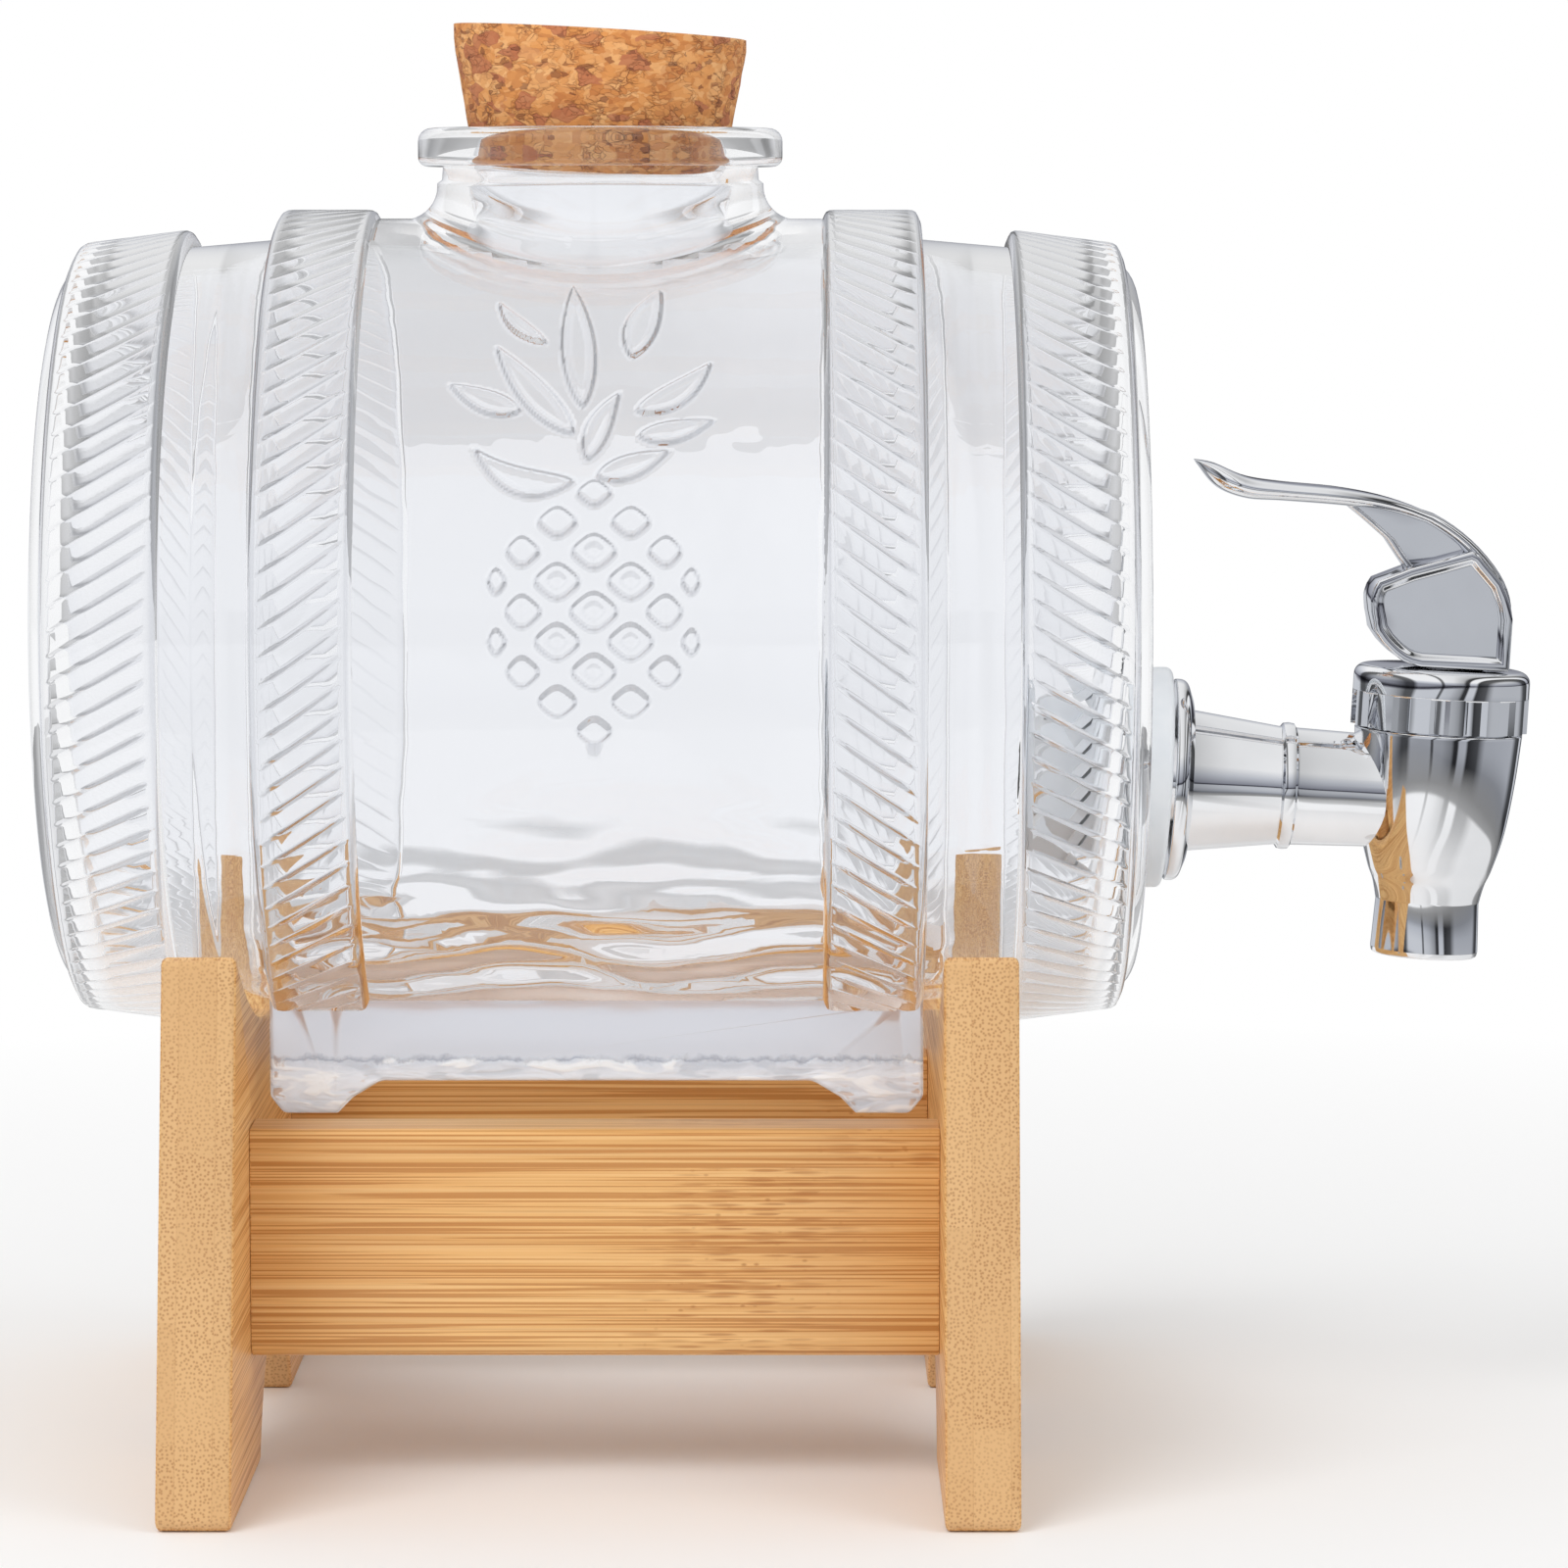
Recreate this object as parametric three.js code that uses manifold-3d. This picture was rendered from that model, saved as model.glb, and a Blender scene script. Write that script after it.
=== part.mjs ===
import * as THREE from 'three';
import { mergeVertices } from 'three/addons/utils/BufferGeometryUtils.js';
import Module from 'manifold-3d';

// Glass barrel dispenser on a bamboo stand, in millimetres with +Z up.
// The barrel lies along X, its tap points along +X and the person using it stands at -Y.

// Glass barrel
const barrelHalfLength = 89.8;
const bellyRadius = 68.7;
const innerHoopRadius = 70.2;
const grooveRadius = 65.2;
const endHoopInnerRadius = 66.9;
const endHoopOuterRadius = 64.9;
const shoulderRadius = 62;
const innerHoopStart = 37.8;
const hoopEdge = 1.3;
const endHoopWidth = 18;
const rimRounding = 4.5;
const hoopRounding = 1;
const glassWall = 4.6;
const endWall = 5;
const cavityRounding = 7;

// Neck, lip and bore
const neckRadius = 27.4;
const neckNeckingDepth = 0.8;
const boreRadius = 22.35;
const lipRadius = 30.6;
const lipHeight = 6.4;
const lipTopHeight = 83.8;
const lipRounding = 1.8;
const neckFillet = 5.2;
const neckStepDrop = 2.6;

// Plinth moulded under the barrel
const plinthHalfLength = 53.8;
const plinthHalfDepth = 34.8;
const plinthDrop = 72.2;
const plinthTopDrop = 45;
const footDrop = 78;
const footFlatHalfLength = 3.2;
const footCentre = 44;
const footRise = 5;
const footTaper = 3;
const plinthRounding = 2;

// Cork stopper
const corkTopRadius = 25;
const corkHeight = 24.6;
const corkSeat = 8.6;
const corkClearance = 0.25;
const corkSlant = 3.2;
const corkEdge = 0.6;

// Bamboo stand
const boardThickness = 12;
const boardClearance = 0.6;
const boardTopHalfDepth = 64.4;
const boardBottomHalfDepth = 82.8;
const axisHeight = 137.4;
const saddleRadius = 125;
const saddleGap = 0.3;
const archHalfWidth = 30;
const archRise = 20;
const boardRounding = 1.6;
const boardTipRounding = 2;
const stretcherThickness = 12;
const stretcherFace = 46;
const stretcherHeight = 37.8;
const stretcherClearance = 0.8;
const stretcherTopRounding = 1.2;
const stretcherBottomRounding = 2.6;

// Wood screws of the stand
const screwShankRadius = 1.8;
const screwHeadRadius = 3.7;
const screwHeadDepth = 2.1;
const screwLength = 34;
const screwPoint = 4;
const screwSpacing = 20;
const screwClearance = 0.12;
const screwSink = 0.3;
const recessWidth = 1.1;
const recessLength = 4.2;
const recessDepth = 1.2;

// Tap: hole, droop, washers and lock nut
const tapHoleDrop = 25.7;
const tapHoleRadius = 9;
const tapDroop = 3.2;
const seatGap = 0.3;
const outerWasherRadius = 18.8;
const outerWasherThickness = 5.9;
const innerWasherRadius = 14;
const innerWasherThickness = 2.6;
const washerBoreRadius = 8.6;
const nutAcrossFlats = 25;
const nutThickness = 7;
const nutCollarRadius = 15;
const nutCollarThickness = 1.6;
const tailRadius = 8;
const tailLength = 21;
const threadPitch = 3;
const threadDepth = 0.5;
const threadClearance = 0.12;

// Tap: flange, shank, valve body and spout
const flangeRadius = 17.1;
const flangeRim = 1.2;
const flangeThickness = 3.6;
const shankRootRadius = 10.8;
const shankEndRadius = 9.2;
const beadStart = 18.7;
const beadWidth = 2.7;
const beadHeight = 0.7;
const shankBoreRadius = 5;
const valveDistance = 45.4;
const shoulderHeight = 11;
const valveRadius = 14.2;
const valveWaistRadius = 12.7;
const valveTaperRadius = 10.8;
const spoutRadius = 8.7;
const outletRadius = 9.1;
const outletDrop = 27.4;
const spoutTopDrop = 18;
const collarRadius = 12.3;
const collarHeight = 17;
const chamberRadius = 9.6;
const chamberFloorDrop = 5.5;
const seatRadius = 5;
const seatDrop = 8.5;
const outletBoreRadius = 7.2;
const outletBoreTopDrop = 13;

// Tap: bonnet
const bonnetRadius = 14.9;
const bonnetTop = 21.6;
const bonnetSplit = 17.2;
const bonnetPlate = 2.6;
const bonnetRounding = 1.7;
const bonnetClearance = 0.3;
const lugCount = 14;
const lugHeight = 0.55;
const edgesPerLug = 4;
const gasketThickness = 0.9;
const gasketBoreRadius = 7.5;

// Tap: stem, plug, spring and seals
const stemRadius = 2.4;
const stemClearance = 0.1;
const stemFootRadius = 4;
const stemFootThickness = 1.6;
const stemHeadThickness = 4.6;
const stemHeadRadius = 3.2;
const plugRadius = 7;
const plugTop = 1;
const springRadius = 5.2;
const springWire = 0.9;
const springTurns = 6;
const springStepsPerTurn = 8;
const springSectionSides = 5;
const ringRadius = 3.3;
const ringWire = 1.4;
const pinRadius = 1.5;
const pinLength = 10.4;

// Tap: lever
const pinHeight = 6.1;
const leverReach = 44.3;
const leverRise = 26.8;
const leverGap = 0.3;
const hubWidth = 13;
const hubSlotWidth = 5.2;
const hubSlotRise = 4.4;
const hubSlotLength = 14.1;
const hubPanelDepth = 0.7;
const paddleWidth = 16;
const paddleRootWidth = 11;
const webWidth = 3.2;
const ribWidth = 6.4;
const ribThickness = 1.5;

// Shares and counts of segments
const barrelSides = 48;
const neckSides = 40;
const tapSides = 32;
const smallSides = 14;
const arcSteps = 2;
const boardArcSteps = 10;
const overrun = 1;
const mergeDistance = 1e-4;

// Lever outlines from its pin: shares of the reach towards the tip, then shares of the rise
// above the pin or, where they are below zero, of the pin's height over the bonnet.
const paddleTopShares = [
  [1, 1], [0.92, 0.98], [0.8, 0.91], [0.66, 0.885], [0.44, 0.87], [0.25, 0.825],
  [0.08, 0.735], [-0.065, 0.59], [-0.18, 0.395], [-0.234, 0.215], [-0.238, 0.1],
];
const paddleUnderShares = [
  [-0.19, 0.1], [-0.185, 0.2], [-0.13, 0.37], [-0.055, 0.5], [0.045, 0.63], [0.16, 0.705],
  [0.27, 0.75], [0.42, 0.762], [0.61, 0.772], [0.8, 0.771], [0.87, 0.794], [0.93, 0.856], [0.985, 0.965],
];
const webShares = [
  [0.41, 0.765], [0.34, 0.67], [0.255, 0.56], [0.165, 0.385], [0.05, 0.38], [-0.1, 0.4],
  [-0.12, 0.42], [-0.05, 0.53], [0.05, 0.66], [0.17, 0.74], [0.27, 0.78],
];
const ribShares = [[0.42, 0.755], [0.34, 0.67], [0.255, 0.56], [0.164, 0.385]];
const hubShares = [
  [-0.238, -1], [0.098, -1], [0.138, -0.95], [0.17, -0.86], [0.222, -0.59], [0.27, -0.21],
  [0.293, 0.05], [0.305, 0.15], [0.304, 0.215], [0.282, 0.3], [0.163, 0.388],
  [-0.068, 0.516], [-0.12, 0.45], [-0.19, 0.33], [-0.238, 0.1],
];
const panelShares = [
  [0.255, 0.27], [-0.089, 0.461], [-0.184, 0.335], [-0.185, -0.68],
  [0.125, -0.787], [0.2, -0.45], [0.227, 0.023], [0.25, 0.15],
];

// Places that follow from the sizes above.
const droop = THREE.MathUtils.degToRad(tapDroop);
const boardInnerFace = plinthHalfLength + 2 * boardClearance + hoopEdge;
const innerHoopEnd = boardInnerFace - boardClearance - hoopEdge;
const endHoopStart = boardInnerFace + boardThickness + boardClearance;
const endHoopEnd = endHoopStart + hoopEdge + endHoopWidth;
const boardOuterFace = boardInnerFace + boardThickness;
const stretcherTop = axisHeight - footDrop - stretcherClearance;
const pinZ = bonnetTop + leverGap + pinHeight;

const wasm = await Module();
wasm.setup();

function solidOf(geometry) {
  const bare = geometry.clone();
  bare.deleteAttribute('normal');
  bare.deleteAttribute('uv');
  const merged = mergeVertices(bare.index ? bare.toNonIndexed() : bare, mergeDistance);
  const corners = [];
  const index = merged.index.array;
  for (let i = 0; i < index.length; i += 3) {
    const [a, b, c] = [index[i], index[i + 1], index[i + 2]];
    if (a !== b && b !== c && c !== a) corners.push(a, b, c);
  }
  const points = merged.attributes.position.array;
  if (signedVolume(points, corners) < 0) corners.reverse();
  return new wasm.Manifold(new wasm.Mesh({
    numProp: 3,
    vertProperties: new Float32Array(points),
    triVerts: new Uint32Array(corners),
  }));
}

function signedVolume(points, corners) {
  let six = 0;
  const [a, b, c] = [new THREE.Vector3(), new THREE.Vector3(), new THREE.Vector3()];
  for (let i = 0; i < corners.length; i += 3) {
    a.fromArray(points, 3 * corners[i]);
    b.fromArray(points, 3 * corners[i + 1]);
    c.fromArray(points, 3 * corners[i + 2]);
    six += a.dot(b.cross(c));
  }
  return six;
}

function geometryOf(solid) {
  const mesh = solid.getMesh();
  const geometry = new THREE.BufferGeometry();
  geometry.setAttribute('position', new THREE.BufferAttribute(mesh.vertProperties, 3));
  geometry.setIndex(new THREE.BufferAttribute(mesh.triVerts, 1));
  const shaded = geometry.toNonIndexed();
  shaded.computeVertexNormals();
  return shaded;
}

function joined(...geometries) {
  return geometryOf(geometries.map(solidOf).reduce((whole, piece) => whole.add(piece)));
}

function cut(body, ...tools) {
  return geometryOf(tools.map(solidOf).reduce((whole, tool) => whole.subtract(tool), solidOf(body)));
}

function common(first, second) {
  return geometryOf(solidOf(first).intersect(solidOf(second)));
}

// Corners given as [u, v, rounding]; each rounding becomes a short curve between its neighbours.
function roundedOutline(corners) {
  const points = [];
  corners.forEach(([u, v, rounding = 0], i) => {
    const corner = new THREE.Vector2(u, v);
    if (rounding === 0) {
      points.push(corner);
      return;
    }
    const before = new THREE.Vector2(...corners.at(i - 1).slice(0, 2));
    const after = new THREE.Vector2(...corners[(i + 1) % corners.length].slice(0, 2));
    const entry = pointTowards(corner, before, rounding);
    const exit = pointTowards(corner, after, rounding);
    points.push(...new THREE.QuadraticBezierCurve(entry, corner, exit).getPoints(arcSteps));
  });
  return points;
}

function pointTowards(corner, other, rounding) {
  const way = other.clone().sub(corner);
  const reach = Math.min(rounding, way.length() / 2);
  return corner.clone().add(way.setLength(reach));
}

// A solid of revolution about Z, from [radius, height] points.
function turned(profile, sides) {
  const points = profile.map(([radius, height]) => new THREE.Vector2(radius, height));
  return new THREE.LatheGeometry(points, sides).rotateX(Math.PI / 2);
}

// A solid of revolution about X, from [radius, distance] points.
function turnedAlongX(profile, sides) {
  return turned(profile, sides).rotateY(Math.PI / 2);
}

function roundedProfile(corners) {
  return roundedOutline(corners).map((point) => [point.x, point.y]);
}

function rod(radius, from, to, sides = smallSides) {
  return turned([[0, from], [radius, from], [radius, to], [0, to]], sides);
}

function rodAlongX(radius, from, to, sides = smallSides) {
  return rod(radius, from, to, sides).rotateY(Math.PI / 2);
}

function ring(innerRadius, outerRadius, from, to, sides) {
  return turned([
    [innerRadius, from], [outerRadius, from], [outerRadius, to], [innerRadius, to], [innerRadius, from],
  ], sides);
}

// An outline in XZ, extruded along Y and centred on Y = 0.
function plateAlongY(outline, width) {
  const shape = new THREE.Shape(outline);
  return new THREE.ExtrudeGeometry(shape, { depth: width, bevelEnabled: false })
    .rotateX(Math.PI / 2).translate(0, width / 2, 0);
}

// An outline in YZ, extruded along X from `from` to `to`.
function plateAlongX(outline, from, to) {
  const turn = new THREE.Matrix4().makeBasis(
    new THREE.Vector3(0, 1, 0), new THREE.Vector3(0, 0, 1), new THREE.Vector3(1, 0, 0));
  return new THREE.ExtrudeGeometry(new THREE.Shape(outline), { depth: to - from, bevelEnabled: false })
    .applyMatrix4(turn).translate(from, 0, 0);
}

function block(width, depth, height) {
  return new THREE.BoxGeometry(width, depth, height);
}

function moveEachPoint(geometry, place) {
  const position = geometry.attributes.position;
  const point = new THREE.Vector3();
  for (let i = 0; i < position.count; i += 1) {
    place(point.fromBufferAttribute(position, i));
    position.setXYZ(i, point.x, point.y, point.z);
  }
  return geometry;
}

function mirroredProfile(half) {
  const left = half.map(([radius, distance, rounding]) => [radius, -distance, rounding]).reverse();
  return [...left, ...half];
}

// The barrel's outside: belly, two inner hoops, two grooves for the boards, two end hoops.
function barrelOutside() {
  const half = [
    [bellyRadius, innerHoopStart - hoopEdge],
    [innerHoopRadius, innerHoopStart, hoopRounding],
    [innerHoopRadius, innerHoopEnd, hoopRounding],
    [grooveRadius, innerHoopEnd + hoopEdge],
    [grooveRadius, endHoopStart],
    [endHoopInnerRadius, endHoopStart + hoopEdge, hoopRounding],
    [endHoopOuterRadius, endHoopEnd - hoopEdge, hoopRounding],
    [shoulderRadius, endHoopEnd, hoopRounding],
    [shoulderRadius - rimRounding / 2, barrelHalfLength, rimRounding],
    [0, barrelHalfLength],
  ];
  return turnedAlongX(roundedProfile(mirroredProfile(half)), barrelSides);
}

function barrelCavity() {
  const half = [
    [bellyRadius - glassWall, innerHoopEnd - glassWall, cavityRounding],
    [grooveRadius - glassWall, innerHoopEnd + hoopEdge, cavityRounding],
    [shoulderRadius - glassWall, barrelHalfLength - endWall, cavityRounding],
    [0, barrelHalfLength - endWall],
  ];
  return turnedAlongX(roundedProfile(mirroredProfile(half)), barrelSides);
}

// The neck's foot flares out and follows the belly's curve, so its lower points drop with it.
function neck() {
  const filletTop = bellyRadius + neckFillet;
  const lipBottom = lipTopHeight - lipHeight;
  const profile = roundedProfile([
    [0, bellyRadius - glassWall],
    [neckRadius + neckFillet, bellyRadius - glassWall],
    [neckRadius + neckFillet, bellyRadius],
    [neckRadius, bellyRadius, neckFillet],
    [neckRadius, lipBottom - neckStepDrop],
    [neckRadius - neckNeckingDepth, lipBottom - neckStepDrop],
    [neckRadius - neckNeckingDepth, lipBottom],
    [lipRadius, lipBottom, lipRounding],
    [lipRadius, lipTopHeight, lipRounding],
    [0, lipTopHeight],
  ]);
  return moveEachPoint(turned(profile, neckSides), (point) => {
    const drop = bellyRadius - Math.sqrt(bellyRadius ** 2 - point.y ** 2);
    const share = THREE.MathUtils.clamp((lipBottom - neckStepDrop - point.z) / (lipBottom - filletTop), 0, 1);
    point.z -= drop * share;
  });
}

// The plinth's outline: a raised middle and a foot near each end.
function plinth() {
  const half = [
    [footCentre - footFlatHalfLength - footRise * 2, -plinthDrop, plinthRounding],
    [footCentre - footFlatHalfLength - footTaper, -plinthDrop - footRise / 2, plinthRounding],
    [footCentre - footFlatHalfLength, -footDrop, plinthRounding / 2],
    [footCentre + footFlatHalfLength, -footDrop, plinthRounding],
    [plinthHalfLength, -footDrop + footRise, plinthRounding],
    [plinthHalfLength, -plinthTopDrop],
  ];
  const mirrored = half.map(([x, z, rounding]) => [-x, z, rounding]).reverse();
  return plateAlongY(roundedOutline([...mirrored, ...half]), 2 * plinthHalfDepth);
}

function glassBarrel() {
  const outside = joined(barrelOutside(), neck(), plinth());
  const bore = rod(boreRadius, 0, lipTopHeight + overrun, neckSides);
  const tapHole = rodAlongX(tapHoleRadius, 0, barrelHalfLength + overrun, tapSides)
    .translate(0, 0, -tapHoleDrop);
  return cut(outside, barrelCavity(), bore, tapHole);
}

// A tapered plug whose two ends are cut on a slight slant.
function corkStopper() {
  const seatRadiusAtLip = boreRadius - corkClearance;
  const proud = corkHeight - corkSeat;
  const slope = (corkTopRadius - seatRadiusAtLip) / proud;
  const bottomRadius = seatRadiusAtLip - slope * corkSeat;
  const profile = roundedProfile([
    [0, -corkSeat],
    [bottomRadius, -corkSeat, corkEdge],
    [seatRadiusAtLip, 0],
    [corkTopRadius, proud, corkEdge],
    [0, proud],
  ]);
  const slant = Math.tan(THREE.MathUtils.degToRad(corkSlant));
  return moveEachPoint(turned(profile, neckSides), (point) => {
    const share = point.z > 0 ? point.z / proud : -point.z / corkSeat;
    point.z -= point.x * slant * share;
  });
}

// An end board: shallow saddle on top, splayed sides, an arch between its two feet.
function endBoard(side) {
  const saddleLow = axisHeight - grooveRadius - saddleGap;
  const tip = saddleLow + saddleRadius - Math.sqrt(saddleRadius ** 2 - boardTopHalfDepth ** 2);
  const archRadius = (archHalfWidth ** 2 + archRise ** 2) / (2 * archRise);
  const saddleHalfAngle = Math.asin((boardTopHalfDepth - boardTipRounding) / saddleRadius);
  const archHalfAngle = Math.asin(archHalfWidth / archRadius);
  const outline = new THREE.Shape();
  outline.moveTo(-boardBottomHalfDepth + boardRounding, 0);
  outline.lineTo(-archHalfWidth, 0);
  outline.absarc(0, archRise - archRadius, archRadius,
    Math.PI / 2 + archHalfAngle, Math.PI / 2 - archHalfAngle, true);
  outline.lineTo(boardBottomHalfDepth - boardRounding, 0);
  outline.quadraticCurveTo(boardBottomHalfDepth, 0, boardBottomHalfDepth - boardRounding / 4, boardRounding);
  outline.lineTo(boardTopHalfDepth + boardTipRounding / 4, tip - boardTipRounding);
  const saddleCentre = saddleLow + saddleRadius;
  outline.quadraticCurveTo(boardTopHalfDepth, tip, boardTopHalfDepth - boardTipRounding,
    saddleCentre - saddleRadius * Math.cos(saddleHalfAngle));
  outline.absarc(0, saddleCentre, saddleRadius,
    -Math.PI / 2 + saddleHalfAngle, -Math.PI / 2 - saddleHalfAngle, true);
  outline.quadraticCurveTo(-boardTopHalfDepth, tip,
    -boardTopHalfDepth - boardTipRounding / 4, tip - boardTipRounding);
  outline.lineTo(-boardBottomHalfDepth + boardRounding / 4, boardRounding);
  outline.quadraticCurveTo(-boardBottomHalfDepth, 0, -boardBottomHalfDepth + boardRounding, 0);
  const board = plateAlongX(outline.getPoints(boardArcSteps), boardInnerFace, boardOuterFace);
  const holes = screwPlaces().map(([y, z]) => screwTool().translate(0, y, z));
  const drilled = cut(board, ...holes);
  return side > 0 ? drilled : drilled.rotateZ(Math.PI);
}

function stretcher() {
  const half = stretcherThickness / 2;
  const outline = roundedOutline([
    [-half, stretcherTop - stretcherHeight, stretcherBottomRounding],
    [half, stretcherTop - stretcherHeight, stretcherBottomRounding],
    [half, stretcherTop, stretcherTopRounding],
    [-half, stretcherTop, stretcherTopRounding],
  ]);
  const bar = plateAlongX(outline, -boardInnerFace, boardInnerFace);
  const bores = screwHeights().flatMap((z) => [
    screwTool().translate(0, 0, z),
    screwTool().translate(0, 0, z).rotateZ(Math.PI),
  ]);
  return cut(bar, ...bores);
}

function screwHeights() {
  const middle = stretcherTop - stretcherHeight / 2;
  return [middle - screwSpacing / 2, middle + screwSpacing / 2];
}

function screwPlaces() {
  const row = stretcherFace - stretcherThickness / 2;
  return screwHeights().flatMap((z) => [[-row, z], [row, z]]);
}

// The space of a screw that enters from the board's outer face, along -X.
function screwTool() {
  const shank = screwShankRadius + screwClearance;
  const head = screwHeadRadius + screwClearance;
  return turnedAlongX([
    [0, boardOuterFace - screwLength - overrun],
    [shank, boardOuterFace - screwLength - overrun],
    [shank, boardOuterFace - screwHeadDepth - screwSink],
    [head, boardOuterFace - screwSink],
    [head, boardOuterFace + overrun],
    [0, boardOuterFace + overrun],
  ], smallSides);
}

function woodScrew() {
  const face = boardOuterFace - screwSink;
  const body = turnedAlongX([
    [0, boardOuterFace - screwLength],
    [screwShankRadius, boardOuterFace - screwLength + screwPoint],
    [screwShankRadius, face - screwHeadDepth],
    [screwHeadRadius, face],
    [0, face],
  ], smallSides);
  const upright = block(2 * recessDepth, recessWidth, recessLength).translate(face, 0, 0);
  const level = block(2 * recessDepth, recessLength, recessWidth).translate(face, 0, 0);
  return cut(body, upright, level);
}

// A washer squeezed between the upright glass and a face that leans with the tap.
function wedgedWasher(innerRadius, outerRadius, from, to, leaningFace) {
  const slope = Math.tan(droop);
  return moveEachPoint(ring(innerRadius, outerRadius, from, to, tapSides).rotateY(Math.PI / 2), (point) => {
    if (Math.abs(point.x - leaningFace) < seatGap) point.x += point.z * slope;
  });
}

function outerWasher() {
  return wedgedWasher(washerBoreRadius, outerWasherRadius, 0, outerWasherThickness, outerWasherThickness);
}

function innerWasher() {
  const from = -innerWasherThickness;
  return wedgedWasher(washerBoreRadius, innerWasherRadius, from, 0, from);
}

function threadedTail() {
  const from = -endWall - innerWasherThickness - tailLength / 2;
  const steps = Math.floor(tailLength / threadPitch);
  const profile = [[0, from]];
  for (let i = 0; i < steps; i += 1) {
    const start = from + (i * tailLength) / steps;
    profile.push([tailRadius - threadDepth, start], [tailRadius, start + threadPitch / 2]);
  }
  profile.push([tailRadius - threadDepth, from + tailLength], [0, from + tailLength]);
  return turnedAlongX(profile, tapSides);
}

// Flange, shank and bead, turned about the shank's own line.
function tapShank() {
  const flangeBack = outerWasherThickness + seatGap;
  const flangeFront = flangeBack + flangeThickness;
  const beadRadius = (shankRootRadius + shankEndRadius) / 2 + beadHeight;
  const beadFrom = flangeBack + beadStart;
  const beadTo = beadFrom + beadWidth;
  return turnedAlongX(roundedProfile([
    [0, -endWall],
    [tailRadius - threadDepth, -endWall],
    [tailRadius - threadDepth, flangeBack],
    [flangeRadius, flangeBack],
    [flangeRadius, flangeBack + 2 * flangeRim, 2 * flangeRim],
    [shankRootRadius, flangeFront],
    [beadRadius - beadHeight, beadFrom],
    [beadRadius, beadFrom, beadHeight],
    [beadRadius, beadTo, beadHeight],
    [beadRadius - beadHeight, beadTo],
    [shankEndRadius, flangeBack + valveDistance],
    [0, flangeBack + valveDistance],
  ]), tapSides);
}

function valveBody() {
  return turned(roundedProfile([
    [0, -outletDrop],
    [outletRadius, -outletDrop],
    [spoutRadius, -spoutTopDrop],
    [valveTaperRadius, -outletBoreTopDrop + flangeRim * 2],
    [valveWaistRadius, -chamberFloorDrop + flangeRim],
    [valveRadius, shoulderHeight, 0],
    [collarRadius, shoulderHeight],
    [collarRadius, collarHeight],
    [0, collarHeight],
  ]), tapSides);
}

function tapBody() {
  const valveLine = outerWasherThickness + seatGap + valveDistance;
  const outside = joined(threadedTail(), tapShank(), valveBody().translate(valveLine, 0, 0));
  const chamber = turned([
    [0, -outletDrop - overrun],
    [outletBoreRadius, -outletDrop - overrun],
    [outletBoreRadius, -outletBoreTopDrop],
    [seatRadius, -outletBoreTopDrop + flangeRim * 2],
    [seatRadius, -seatDrop],
    [plugRadius + bonnetClearance, -chamberFloorDrop],
    [chamberRadius, 0],
    [chamberRadius, collarHeight + overrun],
    [0, collarHeight + overrun],
  ], tapSides).translate(valveLine, 0, 0);
  const passage = rodAlongX(shankBoreRadius, -endWall - tailLength, valveLine, smallSides);
  return cut(outside, chamber, passage);
}

function lockNut() {
  const radius = nutAcrossFlats / Math.sqrt(3);
  const hex = new THREE.CylinderGeometry(radius, radius, nutThickness, 6)
    .rotateZ(Math.PI / 2).translate(-nutThickness / 2, 0, 0);
  const collar = rodAlongX(nutCollarRadius, -nutCollarThickness, 0, tapSides);
  const bore = rodAlongX(tailRadius + threadClearance, -nutThickness - overrun, overrun, tapSides);
  return cut(joined(hex, collar), bore);
}

// The bonnet: a domed cap over a skirt with raised lugs.
function bonnet() {
  const skirtRadius = bonnetRadius - lugHeight;
  const cap = turned(roundedProfile([
    [0, bonnetSplit],
    [bonnetRadius, bonnetSplit],
    [bonnetRadius, bonnetTop, bonnetRounding],
    [0, bonnetTop],
  ]), lugCount * edgesPerLug);
  const skirtOutline = [];
  for (let i = 0; i < lugCount * edgesPerLug; i += 1) {
    const radius = i % edgesPerLug < edgesPerLug / 2 ? bonnetRadius : skirtRadius;
    const angle = (2 * Math.PI * i) / (lugCount * edgesPerLug);
    skirtOutline.push(new THREE.Vector2(radius * Math.cos(angle), radius * Math.sin(angle)));
  }
  const skirtFoot = shoulderHeight + bonnetClearance;
  const skirt = new THREE.ExtrudeGeometry(new THREE.Shape(skirtOutline),
    { depth: bonnetSplit - skirtFoot, bevelEnabled: false }).translate(0, 0, skirtFoot);
  const hollow = rod(collarRadius + bonnetClearance, skirtFoot - overrun, bonnetTop - bonnetPlate, tapSides);
  const stemHole = rod(stemRadius + stemClearance, shoulderHeight, bonnetTop + overrun);
  const sealGroove = rod(ringRadius + ringWire / 2, bonnetTop - bonnetPlate, bonnetTop - bonnetPlate / 2);
  return cut(joined(cap, skirt), hollow, stemHole, sealGroove);
}

function bonnetGasket() {
  return ring(gasketBoreRadius, collarRadius, collarHeight, collarHeight + gasketThickness, tapSides);
}

function stemRing() {
  const wire = ringWire / 2 - stemClearance;
  const section = new THREE.EllipseCurve(ringRadius, 0, wire, wire);
  const profile = section.getPoints(arcSteps * 2).map((point) => [point.x, point.y]);
  const bottom = bonnetTop - bonnetPlate;
  return turned(profile, smallSides).translate(0, 0, bottom + wire);
}

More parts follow.
